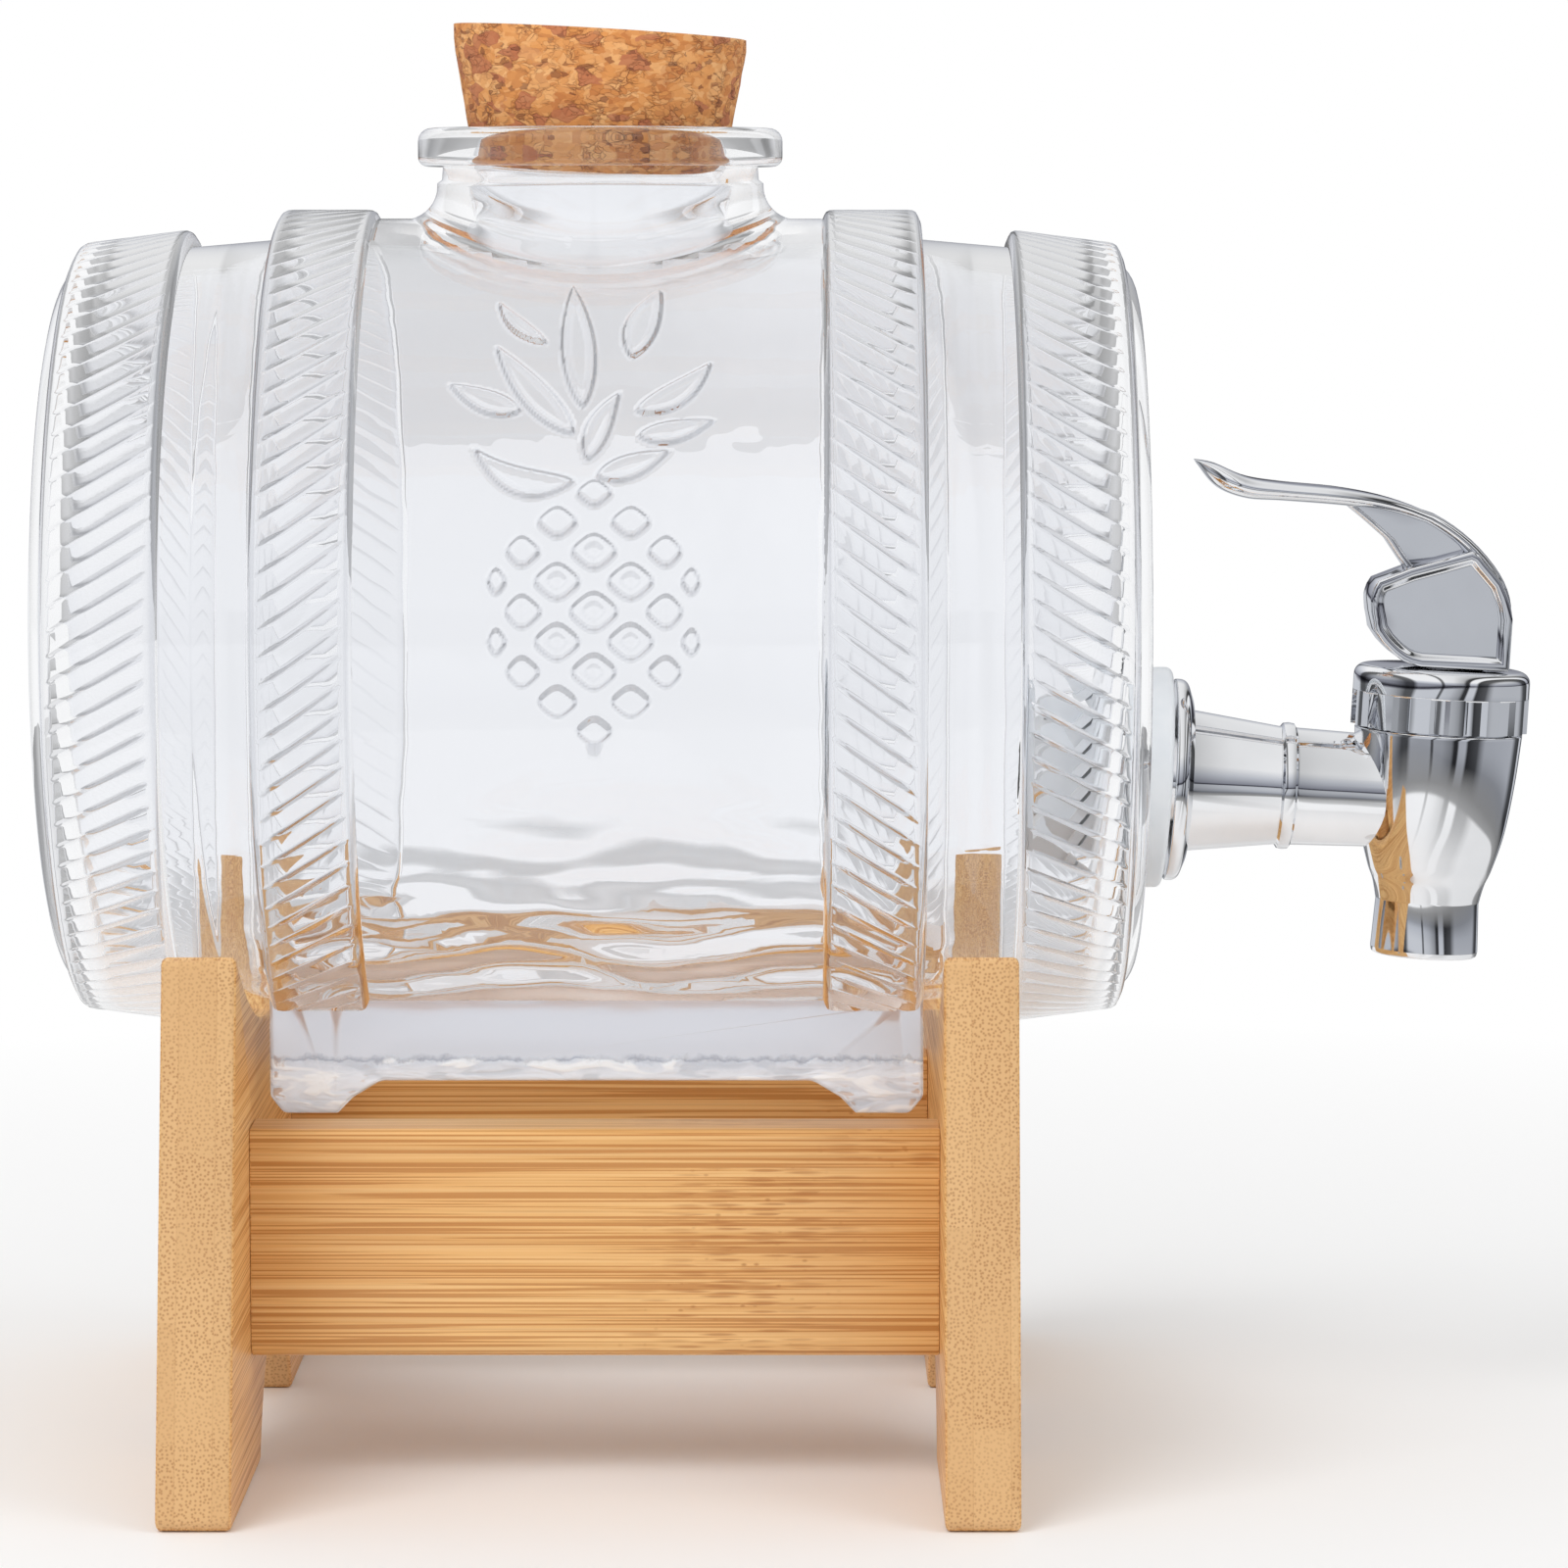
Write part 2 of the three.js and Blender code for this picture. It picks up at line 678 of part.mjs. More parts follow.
function valveStem() {
  const footBottom = -plugTop - stemFootThickness * 2;
  const shaft = turned([
    [0, footBottom],
    [stemFootRadius, footBottom],
    [stemFootRadius, footBottom + stemFootThickness],
    [stemRadius, footBottom + stemFootThickness],
    [stemRadius, bonnetTop + leverGap],
    [0, bonnetTop + leverGap],
  ], smallSides);
  const headBase = block(2 * stemRadius, stemHeadThickness - stemClearance, pinHeight)
    .translate(0, 0, pinZ - pinHeight / 2);
  const eye = rod(stemHeadRadius, -stemHeadThickness / 2, stemHeadThickness / 2)
    .rotateX(Math.PI / 2).translate(0, 0, pinZ);
  const eyeBore = rod(pinRadius + stemClearance / 2, -stemHeadThickness, stemHeadThickness)
    .rotateX(Math.PI / 2).translate(0, 0, pinZ);
  return cut(joined(shaft, headBase, eye), eyeBore);
}

function valvePlug() {
  const footBottom = -plugTop - stemFootThickness * 2;
  const body = turned(roundedProfile([
    [0, -seatDrop + seatGap],
    [seatRadius, -seatDrop + seatGap, plugTop],
    [plugRadius, -chamberFloorDrop + seatGap * 2],
    [plugRadius, plugTop, plugTop],
    [0, plugTop],
  ]), tapSides);
  const pocket = rod(stemFootRadius + stemClearance, footBottom - stemClearance,
    footBottom + stemFootThickness + stemClearance);
  const neckBore = rod(stemRadius + stemClearance, footBottom, plugTop + overrun);
  return cut(body, pocket, neckBore);
}

// The valve spring stands on the plug and pushes against the bonnet's gasket.
function valveSpring() {
  const low = plugTop + seatGap + springWire / 2;
  const high = bonnetTop - bonnetPlate - seatGap - springWire / 2;
  const points = [];
  const steps = springTurns * springStepsPerTurn;
  for (let i = 0; i <= steps; i += 1) {
    const angle = (2 * Math.PI * springTurns * i) / steps;
    points.push(new THREE.Vector3(
      springRadius * Math.cos(angle), springRadius * Math.sin(angle), low + ((high - low) * i) / steps));
  }
  const section = [];
  for (let i = 0; i < springSectionSides; i += 1) {
    const angle = (2 * Math.PI * i) / springSectionSides;
    section.push(new THREE.Vector2((springWire / 2) * Math.cos(angle), (springWire / 2) * Math.sin(angle)));
  }
  return new THREE.ExtrudeGeometry(new THREE.Shape(section),
    { steps, extrudePath: new THREE.CatmullRomCurve3(points), bevelEnabled: false });
}

function leverPin() {
  return rod(pinRadius, -pinLength / 2, pinLength / 2).rotateX(Math.PI / 2).translate(0, 0, pinZ);
}

function leverOutline(shares) {
  return shares.map(([reachShare, riseShare]) => {
    const height = riseShare > 0 ? leverRise * riseShare : pinHeight * riseShare;
    return new THREE.Vector2(-leverReach * reachShare, height);
  });
}

// The paddle's plan: rounded at its tip, narrowing towards the hub.
function paddlePlan() {
  const half = paddleWidth / 2;
  const rootHalf = paddleRootWidth / 2;
  const back = leverReach / 2;
  const corners = [
    [-leverReach, -half, half], [-leverReach, half, half],
    [-leverReach / 2, half, half], [0, rootHalf, rootHalf], [back, rootHalf],
    [back, -rootHalf], [0, -rootHalf, rootHalf], [-leverReach / 2, -half, half],
  ];
  return new THREE.ExtrudeGeometry(new THREE.Shape(roundedOutline(corners)),
    { depth: 2 * leverRise, bevelEnabled: false }).translate(0, 0, -leverRise / 2);
}

function lever() {
  const bendOutline = [...leverOutline(paddleTopShares), ...leverOutline(paddleUnderShares)];
  const bend = plateAlongY(bendOutline, paddleWidth);
  const paddle = common(bend, paddlePlan());
  const web = plateAlongY(leverOutline(webShares), webWidth);
  const outer = leverOutline(ribShares);
  const inner = outer.map((point) => new THREE.Vector2(point.x + ribThickness, point.y));
  const rib = plateAlongY([...outer, ...inner.reverse()], ribWidth);
  const hub = plateAlongY(leverOutline(hubShares), hubWidth);
  const panel = plateAlongY(leverOutline(panelShares), 2 * hubPanelDepth);
  const panels = [-1, 1].map((side) => panel.clone().translate(0, (side * hubWidth) / 2, 0));
  const slot = block(hubSlotLength, hubSlotWidth, pinHeight + hubSlotRise + overrun)
    .translate(0, 0, (hubSlotRise - pinHeight - overrun) / 2);
  const socketEnd = pinLength / 2 + stemClearance;
  const socket = rod(pinRadius + stemClearance / 2, -socketEnd, socketEnd).rotateX(Math.PI / 2);
  return cut(joined(paddle, web, rib, hub), slot, socket, ...panels).translate(0, 0, pinZ);
}

const glass = { color: 0xe6eef2, roughness: 0.03, metalness: 0 };
const chrome = { color: 0xd8dade, roughness: 0.08, metalness: 1 };
const bamboo = { color: 0xdda55a, roughness: 0.55, metalness: 0 };
const corkLook = { color: 0xc4894c, roughness: 0.9, metalness: 0 };
const silicone = { color: 0xe4e8ec, roughness: 0.4, metalness: 0 };
const steel = { color: 0xa8a8a4, roughness: 0.35, metalness: 1 };
const rubber = { color: 0x2a2a2a, roughness: 0.8, metalness: 0 };

function piece(name, geometry, look) {
  const mesh = new THREE.Mesh(geometry, new THREE.MeshStandardMaterial(look));
  mesh.name = name;
  return mesh;
}

function standGroup() {
  const stand = new THREE.Group();
  stand.add(piece('end_board_left', endBoard(-1), bamboo));
  stand.add(piece('end_board_right', endBoard(1), bamboo));
  const row = stretcherFace - stretcherThickness / 2;
  for (const [name, y] of [['stretcher_front', -row], ['stretcher_back', row]]) {
    const bar = piece(name, stretcher(), bamboo);
    bar.position.y = y;
    stand.add(bar);
  }
  screwPlaces().forEach(([y, z], i) => {
    const right = piece(`screw_right_${i + 1}`, woodScrew(), steel);
    right.position.set(0, y, z);
    const left = piece(`screw_left_${i + 1}`, woodScrew(), steel);
    left.position.set(0, y, z);
    left.rotation.z = Math.PI;
    stand.add(right, left);
  });
  return stand;
}

function tapGroup() {
  const tap = new THREE.Group();
  const valve = new THREE.Group();
  valve.position.x = outerWasherThickness + seatGap + valveDistance;
  valve.add(
    piece('bonnet', bonnet(), chrome),
    piece('bonnet_gasket', bonnetGasket(), silicone),
    piece('stem_ring', stemRing(), rubber),
    piece('valve_stem', valveStem(), steel),
    piece('valve_plug', valvePlug(), silicone),
    piece('valve_spring', valveSpring(), steel),
    piece('lever_pin', leverPin(), steel),
    piece('lever', lever(), chrome),
  );
  const nut = piece('lock_nut', lockNut(), silicone);
  nut.position.x = -endWall - innerWasherThickness - 2 * seatGap;
  tap.add(piece('tap_body', tapBody(), chrome), nut, valve);
  tap.rotation.y = droop;
  return tap;
}

function barrelGroup() {
  const barrel = new THREE.Group();
  const cork = piece('cork_stopper', corkStopper(), corkLook);
  cork.position.z = lipTopHeight;
  const outer = piece('outer_washer', outerWasher(), silicone);
  outer.position.set(barrelHalfLength, 0, -tapHoleDrop);
  const inner = piece('inner_washer', innerWasher(), silicone);
  inner.position.set(barrelHalfLength - endWall, 0, -tapHoleDrop);
  const tap = tapGroup();
  tap.position.set(barrelHalfLength, 0, -tapHoleDrop);
  barrel.add(piece('glass_barrel', glassBarrel(), glass), cork, outer, inner, tap);
  barrel.position.z = axisHeight;
  return barrel;
}

const dispenser = new THREE.Group();
dispenser.add(standGroup(), barrelGroup());
dispenser.updateMatrixWorld(true);

// The origin is the middle of the whole object's outline on the table.
const reach = new THREE.Box3().setFromObject(dispenser, true);
dispenser.position.x = -(reach.min.x + reach.max.x) / 2;
dispenser.position.y = -(reach.min.y + reach.max.y) / 2;
dispenser.position.z = -reach.min.z;

export default dispenser;
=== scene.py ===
import math

import bmesh
import bpy
from mathutils import Matrix, Vector


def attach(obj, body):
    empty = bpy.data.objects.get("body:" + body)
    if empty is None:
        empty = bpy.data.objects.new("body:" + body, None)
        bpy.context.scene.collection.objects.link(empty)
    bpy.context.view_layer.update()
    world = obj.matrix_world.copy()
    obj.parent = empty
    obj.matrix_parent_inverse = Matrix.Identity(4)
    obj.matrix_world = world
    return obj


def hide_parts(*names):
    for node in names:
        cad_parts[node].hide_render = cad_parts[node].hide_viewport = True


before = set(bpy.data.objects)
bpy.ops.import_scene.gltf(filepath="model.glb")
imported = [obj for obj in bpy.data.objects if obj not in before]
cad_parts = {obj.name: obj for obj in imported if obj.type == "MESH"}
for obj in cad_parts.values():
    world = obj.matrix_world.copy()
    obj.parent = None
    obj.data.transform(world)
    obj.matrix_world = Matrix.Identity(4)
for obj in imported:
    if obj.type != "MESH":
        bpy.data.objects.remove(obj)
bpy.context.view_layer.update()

# End boards: two 12 mm boards of laminated bamboo with the fibres lying across the stand.
# Each is sawn to shape with a shallow saddle for the barrel and an arch between its feet,
# then rounded over, drilled and counterbored for four screws.

MM = 0.001


def add(tree, kind, inputs=None, **settings):
    """A shader node with its settings, and a value or a link for each named input."""
    node = tree.nodes.new(kind)
    for key, value in settings.items():
        setattr(node, key, value)
    for key, value in (inputs or {}).items():
        if isinstance(value, bpy.types.NodeSocket):
            tree.links.new(value, node.inputs[key])
        else:
            node.inputs[key].default_value = value
    return node


def maths(tree, operation, a, b=0.0, c=0.0):
    return add(tree, "ShaderNodeMath", {0: a, 1: b, 2: c}, operation=operation).outputs[0]


def times(tree, a, b):
    return maths(tree, "MULTIPLY", a, b)


def vector_maths(tree, operation, *terms):
    node = add(tree, "ShaderNodeVectorMath", dict(enumerate(terms)), operation=operation)
    return node.outputs["Value" if operation in ("LENGTH", "DOT_PRODUCT") else "Vector"]


def split(tree, vector):
    """The X, Y and Z of a vector."""
    return add(tree, "ShaderNodeSeparateXYZ", {"Vector": vector}).outputs


def own_place(tree):
    """The place of a point on its own object, in metres."""
    return add(tree, "ShaderNodeTexCoord").outputs["Object"]


def ramp(tree, value, stops):
    """A colour ramp from (place, colour) stops, with plain numbers read as greys."""
    node = add(tree, "ShaderNodeValToRGB", {"Fac": value})
    elements = node.color_ramp.elements
    while len(elements) < len(stops):
        elements.new(0.5)
    for element, (place, colour) in zip(elements, stops):
        element.position = place
        element.color = (*colour, 1) if isinstance(colour, tuple) else (colour, colour, colour, 1)
    return node.outputs["Color"]


def mixed(tree, share, a, b, blend="MIX"):
    node = add(tree, "ShaderNodeMix", data_type="RGBA", blend_type=blend)
    for index, value in ((0, share), (6, a), (7, b)):
        if isinstance(value, bpy.types.NodeSocket):
            tree.links.new(value, node.inputs[index])
        else:
            node.inputs[index].default_value = (*value, 1) if isinstance(value, tuple) else value
    return node.outputs[2]


def noise(tree, place, scale, detail=2.0, **more):
    """The value of a noise pattern; `more` sets further inputs of its node."""
    return add(tree, "ShaderNodeTexNoise", {"Vector": place, "Scale": scale, "Detail": detail, **more}).outputs["Fac"]


def wire(tree, node, **sockets):
    """Links a socket to each named input of the node."""
    for label, socket in sockets.items():
        tree.links.new(socket, node.inputs[label.replace("_", " ")])


def bumped(tree, height, strength, distance):
    """The normal of a surface with this height pattern, whose full height is given in millimetres."""
    return add(tree, "ShaderNodeBump", {"Height": height, "Strength": strength, "Distance": distance * MM}).outputs[0]


def group(name, inputs, outputs):
    """A shader node group with its named sockets; gives the tree, its input node and its output node."""
    tree = bpy.data.node_groups.new(name, "ShaderNodeTree")
    for label, kind in inputs:
        tree.interface.new_socket(label, in_out="INPUT", socket_type=kind)
    for label, kind in outputs:
        tree.interface.new_socket(label, in_out="OUTPUT", socket_type=kind)
    return tree, tree.nodes.new("NodeGroupInput"), tree.nodes.new("NodeGroupOutput")


def bamboo_group():
    """Fibres along X: dark bundles that show as streaks along them and as dots across them."""
    tree, given, result = group("bamboo grain", [("Vector", "NodeSocketVector"), ("End", "NodeSocketFloat")],
                                [("Color", "NodeSocketColor"), ("Height", "NodeSocketFloat"),
                                 ("Roughness", "NodeSocketFloat")])
    place = given.outputs["Vector"]
    parts = split(tree, place)
    laminate, strip_width, knuckle_pitch = 6 * MM, 19 * MM, 0.26
    layers = times(tree, parts["Y"], 1 / laminate)
    layer = maths(tree, "FLOOR", layers)
    strip = maths(tree, "FLOOR", maths(tree, "ADD", times(tree, parts["Z"], 1 / strip_width), times(tree, layer, 0.37)))
    which = add(tree, "ShaderNodeCombineXYZ", {"X": layer, "Y": strip})
    chance = add(tree, "ShaderNodeTexWhiteNoise", {"Vector": which.outputs[0]}, noise_dimensions="3D")
    shifted = vector_maths(tree, "ADD", place, chance.outputs["Color"])

    def stretched(along, across):
        return vector_maths(tree, "MULTIPLY", shifted, (along, across, across))

    def spots(along, across, near, far, least, most, spread=1.0):
        """Long spots in the stretched space: streaks from the side, dots from the end."""
        cells = add(tree, "ShaderNodeTexVoronoi", {"Vector": stretched(along, across), "Scale": 1.0,
                                                   "Randomness": spread}, feature="F1")
        drawn = add(tree, "ShaderNodeSeparateColor", {"Color": cells.outputs["Color"]})
        return times(tree, ramp(tree, cells.outputs["Distance"], [(near, 1.0), (far, 0.0)]),
                     ramp(tree, drawn.outputs[0], [(least, 0.0), (most, 1.0)]))

    tone = noise(tree, stretched(4, 60), 1.0, 1.0)
    streak = noise(tree, stretched(15, 3000), 1.0, 0.0)
    bands = noise(tree, stretched(7, 900), 1.0, 1.0)
    patch = noise(tree, stretched(8, 45), 1.0, 1.0)
    dots = times(tree, spots(9, 1500, 0.16, 0.42, 0.0, 0.1, 0.7), ramp(tree, patch, [(0.36, 0.3), (0.56, 1.0)]))
    bundle = maths(tree, "MAXIMUM", dots, spots(7, 520, 0.04, 0.15, 0.4, 0.9))
    cut = split(tree, stretched(1500, 1500))
    cut = add(tree, "ShaderNodeCombineXYZ", {"X": cut["Y"], "Y": cut["Z"]}).outputs[0]
    vessels = add(tree, "ShaderNodeTexVoronoi", {"Vector": cut, "Scale": 1.0, "Randomness": 0.8},
                  feature="F1", voronoi_dimensions="2D")
    vessel = times(tree, ramp(tree, vessels.outputs["Distance"], [(0.14, 1.0), (0.4, 0.0)]),
                   ramp(tree, patch, [(0.36, 0.45), (0.56, 1.0)]))
    wander = times(tree, maths(tree, "SUBTRACT", tone, 0.5), 0.03)
    along = maths(tree, "ADD", times(tree, parts["X"], 1 / knuckle_pitch), wander)
    turn = maths(tree, "FRACT", maths(tree, "ADD", along, times(tree, chance.outputs["Value"], 0.22)))
    off_knuckle = maths(tree, "ABSOLUTE", maths(tree, "SUBTRACT", turn, 0.5))
    dashes = maths(tree, "MAXIMUM", spots(150, 1700, 0.25, 0.55, 0.2, 0.6), spots(500, 900, 0.1, 0.3, 0.6, 0.9))
    knuckle = times(tree, ramp(tree, off_knuckle, [(0.02, 1.0), (0.09, 0.0)]), dashes)
    base = ramp(tree, tone, [(0.3, (0.81, 0.455, 0.165)), (0.5, (0.85, 0.5, 0.19)), (0.72, (0.89, 0.56, 0.235))])
    by_strip = ramp(tree, chance.outputs["Value"], [(0.0, (0.93, 0.9, 0.87)), (1.0, (1.0, 1.0, 1.0))])
    base = mixed(tree, 1.0, base, by_strip, "MULTIPLY")
    seam = ramp(tree, maths(tree, "FRACT", layers), [(0.0, 1.0), (0.035, 0.0)])
    end = ramp(tree, given.outputs["End"], [(0.55, 0.0), (0.85, 1.0)])
    side = maths(tree, "SUBTRACT", 1.0, end)
    base = mixed(tree, end, base, mixed(tree, 1.0, (0.75, 0.465, 0.215), by_strip, "MULTIPLY"))
    base = mixed(tree, times(tree, seam, 0.3), base, (0.45, 0.2, 0.06))

    def marks(value, stops, strength):
        return times(tree, times(tree, ramp(tree, value, stops), strength), side)

    base = mixed(tree, marks(bands, [(0.5, 0.0), (0.64, 1.0)], 0.3), base, (0.58, 0.25, 0.05))
    base = mixed(tree, marks(streak, [(0.54, 0.0), (0.6, 1.0)], 0.65), base, (0.46, 0.17, 0.03))
    base = mixed(tree, marks(streak, [(0.34, 1.0), (0.43, 0.0)], 0.25), base, (0.98, 0.7, 0.36))
    base = mixed(tree, times(tree, bundle, times(tree, side, 0.3)), base, (0.4, 0.17, 0.05))
    base = mixed(tree, times(tree, vessel, times(tree, end, 0.6)), base, (0.36, 0.14, 0.035))
    base = mixed(tree, times(tree, knuckle, 0.6), base, (0.42, 0.15, 0.03))
    height = maths(tree, "ADD", times(tree, bundle, -0.5), times(tree, streak, 0.5))
    rough = maths(tree, "ADD", times(tree, bundle, 0.15), 0.42)
    wire(tree, result, Color=base, Height=height, Roughness=rough)
    return tree


bamboo_grain = bamboo_group()


def new_material(name, **sockets):
    """A material with plain values on its Principled shader; gives the material, its tree and the shader."""
    material = bpy.data.materials.new(name)
    material.use_nodes = True
    tree = material.node_tree
    shader = tree.nodes["Principled BSDF"]
    for key, value in sockets.items():
        shader.inputs[key.replace("_", " ")].default_value = value
    return material, tree, shader


def bamboo(name, turn, shift):
    """Bamboo whose fibres are turned by `turn` about Z, with the pattern shifted along them."""
    material, tree, shader = new_material(name, Coat_Weight=0.12, Coat_Roughness=0.25)
    where = add(tree, "ShaderNodeTexCoord")
    turned = add(tree, "ShaderNodeMapping", {"Vector": where.outputs["Object"], "Rotation": (0, 0, turn),
                                             "Location": shift})
    fibres = (math.cos(turn), -math.sin(turn), 0)
    across = vector_maths(tree, "DOT_PRODUCT", where.outputs["Normal"], fibres)
    grain = add(tree, "ShaderNodeGroup", node_tree=bamboo_grain)
    wire(tree, grain, Vector=turned.outputs[0], End=maths(tree, "ABSOLUTE", across))
    wire(tree, shader, Base_Color=grain.outputs["Color"], Roughness=grain.outputs["Roughness"],
         Normal=bumped(tree, grain.outputs["Height"], 0.25, 0.12))
    return material


def arc(centre, radius, start, end, steps):
    """Points on an arc between two angles in degrees, both ends included."""
    angles = [math.radians(start + (end - start) * i / steps) for i in range(steps + 1)]
    return [(centre[0] + radius * math.cos(a), centre[1] + radius * math.sin(a)) for a in angles]


def rounded(corners, steps=6):
    """An outline from (u, v, radius) corners, each with a radius rounded by a true arc."""
    points = []
    for i, corner in enumerate(corners):
        here = Vector(corner[:2])
        radius = corner[2] if len(corner) > 2 else 0
        if not radius:
            points.append(tuple(here))
            continue
        back = Vector(corners[i - 1][:2]) - here
        on = Vector(corners[(i + 1) % len(corners)][:2]) - here
        half = back.angle(on) / 2
        run = min(radius / math.tan(half), back.length * 0.49, on.length * 0.49)
        radius = run * math.tan(half)
        entry, leave = here + back.normalized() * run, here + on.normalized() * run
        middle = here + (back.normalized() + on.normalized()).normalized() * (radius / math.sin(half))
        first, last = entry - middle, leave - middle
        sweep = first.angle_signed(last)
        for k in range(steps + 1):
            turned = first.copy()
            turned.rotate(Matrix.Rotation(-sweep * k / steps, 2))
            points.append(tuple(middle + turned))
    return points


def prism(outline, axis, start, end):
    """An outline in millimetres, extruded along X (outline in YZ) or along Y (outline in XZ)."""
    bm = bmesh.new()
    if axis == "X":
        corners = [bm.verts.new((start * MM, u * MM, v * MM)) for u, v in outline]
        way = Vector(((end - start) * MM, 0, 0))
    else:
        corners = [bm.verts.new((u * MM, start * MM, v * MM)) for u, v in outline]
        way = Vector((0, (end - start) * MM, 0))
    face = bm.faces.new(corners)
    grown = bmesh.ops.extrude_face_region(bm, geom=[face], use_keep_orig=True)
    moved = [e for e in grown["geom"] if isinstance(e, bmesh.types.BMVert)]
    bmesh.ops.translate(bm, verts=moved, vec=way)
    bmesh.ops.recalc_face_normals(bm, faces=bm.faces)
    return bm


def soften(bm, width, angle=40, segments=3, keep=lambda edge: True):
    """Rounds every edge sharper than the angle by the width in millimetres."""
    sharp = [e for e in bm.edges if len(e.link_faces) == 2
             and e.calc_face_angle(0) > math.radians(angle) and keep(e)]
    bmesh.ops.bevel(bm, geom=sharp, offset=width * MM, offset_type="OFFSET", affect="EDGES",
                    segments=segments, profile=0.5, material=-1, clamp_overlap=True)
    return bm


def placed(name, data):
    """A new object in the scene with this mesh, lamp or camera."""
    obj = bpy.data.objects.new(name, data)
    bpy.context.scene.collection.objects.link(obj)
    return obj


def meshed(bm, name="work"):
    mesh = bpy.data.meshes.new(name)
    bm.to_mesh(mesh)
    bm.free()
    return placed(name, mesh)


def combined(body, tools, operation):
    """The body with the tools joined to it or cut from it, as a new bmesh."""
    objects = [meshed(bm) for bm in [body, *tools]]
    for tool in objects[1:]:
        step = objects[0].modifiers.new("step", "BOOLEAN")
        step.operation = operation
        step.solver = "MANIFOLD"
        step.object = tool
    graph = bpy.context.evaluated_depsgraph_get()
    result = bmesh.new()
    result.from_mesh(objects[0].evaluated_get(graph).to_mesh())
    for obj in objects:
        mesh = obj.data
        bpy.data.objects.remove(obj)
        bpy.data.meshes.remove(mesh)
    return result


def finished(bm, name, material, body, nodes=(), sharp=35):
    """Makes the piece: smooth faces with crisp edges, its material, its body and its nodes."""
    bmesh.ops.remove_doubles(bm, verts=bm.verts, dist=0.001 * MM)
    for face in bm.faces:
        face.smooth = True
    for edge in bm.edges:
        edge.smooth = edge.calc_face_angle(0) < math.radians(sharp)
    obj = meshed(bm, name)
    obj.data.materials.append(material)
    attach(obj, body)
    if nodes:
        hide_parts(*nodes)
    return obj


board_bamboo = bamboo("bamboo across the stand", -math.pi / 2, (0.06, 0.003, 0))
barrel_x = -33.7536
axis_z = 137.4
board_inner, board_outer = 56.3, 68.3
screw_rows = [(y, z) for y in (-40, 40) for z in (29.7, 49.7)]


def rod(radius, start, end, place, sides):
    """A rod along X between two distances from the barrel's middle, at (y, z)."""
    bm = bmesh.new()
    bmesh.ops.create_cone(bm, cap_ends=True, segments=sides, radius1=radius * MM, radius2=radius * MM,
                          depth=(end - start) * MM, matrix=Matrix.Rotation(math.pi / 2, 4, "Y"))
    middle = ((barrel_x + (start + end) / 2) * MM, place[0] * MM, place[1] * MM)
    bmesh.ops.translate(bm, verts=bm.verts, vec=middle)
    return bm


def end_board(side):
    saddle_low, saddle_radius, saddle_half = 71.9, 125, 63.2
    arch_top, arch_radius, arch_half = 20, 32.5, 30
    reach = math.degrees(math.asin(saddle_half / saddle_radius))
    saddle = arc((0, saddle_low + saddle_radius), saddle_radius, -90 + reach, -90 - reach, 40)
    reach = math.degrees(math.asin(arch_half / arch_radius))
    arch = arc((0, arch_top - arch_radius), arch_radius, 90 + reach, 90 - reach, 20)
    left_foot = rounded([(-82.8, 0, 2.2), (-70, 0), (-66, 80)])[:7]
    right_foot = [(-y, z) for y, z in reversed(left_foot)]
    tip = [(64.9, 86.6), (65.0, 87.8), (64.6, 88.7)]
    outline = left_foot + arch + right_foot + tip + saddle + [(-y, z) for y, z in reversed(tip)]
    start, end = sorted((side * board_inner, side * board_outer))
    bm = prism(outline, "X", barrel_x + start, barrel_x + end)
    soften(bm, 0.9, angle=60)
    hole = sorted((side * (board_inner - 1), side * (board_outer - 2.2)))
    sink = sorted((side * (board_outer - 2.6), side * (board_outer + 2)))
    tools = [rod(radius, *ends, place, sides) for place in screw_rows
             for radius, ends, sides in ((1.95, hole, 24), (3.9, sink, 32))]
    return combined(bm, tools, "DIFFERENCE")


for name, side in (("end_board_left", -1), ("end_board_right", 1)):
    finished(end_board(side), name + "_bamboo", board_bamboo, "stand", [name])

# Stretchers: two bamboo rails, 12 by 38 mm, that hold the end boards apart.
# Their fibres run along the rail, with a knuckle of the cane near the middle,
# and their long edges are rounded over.

rail_bamboo = bamboo("bamboo along the rail", 0, (0.0925, 0.0, 0.004))


def stretcher(middle):
    top, height, half = 58.6, 37.8, 6
    outline = rounded([(middle - half, top - height, 2.6), (middle + half, top - height, 2.6),
                       (middle + half, top, 1.2), (middle - half, top, 1.2)])
    bm = prism(outline, "X", barrel_x - board_inner, barrel_x + board_inner)
    soften(bm, 0.35, angle=60, segments=2)
    return bm


for name, middle in (("stretcher_front", -40), ("stretcher_back", 40)):
    finished(stretcher(middle), name + "_bamboo", rail_bamboo, "stand", [name])

# Wood screws: eight countersunk stainless screws, two through an end board into each rail end.
# The solids' own screws stay and get the finish of turned steel.

def steel():
    material, tree, shader = new_material("stainless steel", Metallic=1.0)
    place = own_place(tree)
    wear = noise(tree, place, 900.0, 3.0)
    wire(tree, shader, Base_Color=ramp(tree, wear, [(0.3, (0.5, 0.5, 0.49)), (0.7, (0.68, 0.68, 0.67))]),
         Roughness=ramp(tree, wear, [(0.3, 0.22), (0.7, 0.4)]))
    return material


def paint(node, material):
    """A CAD node that stays gets a material of its own."""
    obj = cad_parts[node]
    obj.data.materials.clear()
    obj.data.materials.append(material)


steel_finish = steel()
for side in ("left", "right"):
    for number in (1, 2, 3, 4):
        paint("screw_%s_%d" % (side, number), steel_finish)

# Glass barrel: pressed clear glass, one piece with its neck, four roped hoops and a plinth.
# The belly carries a raised pineapple. The boards sit in the two plain grooves between hoops.

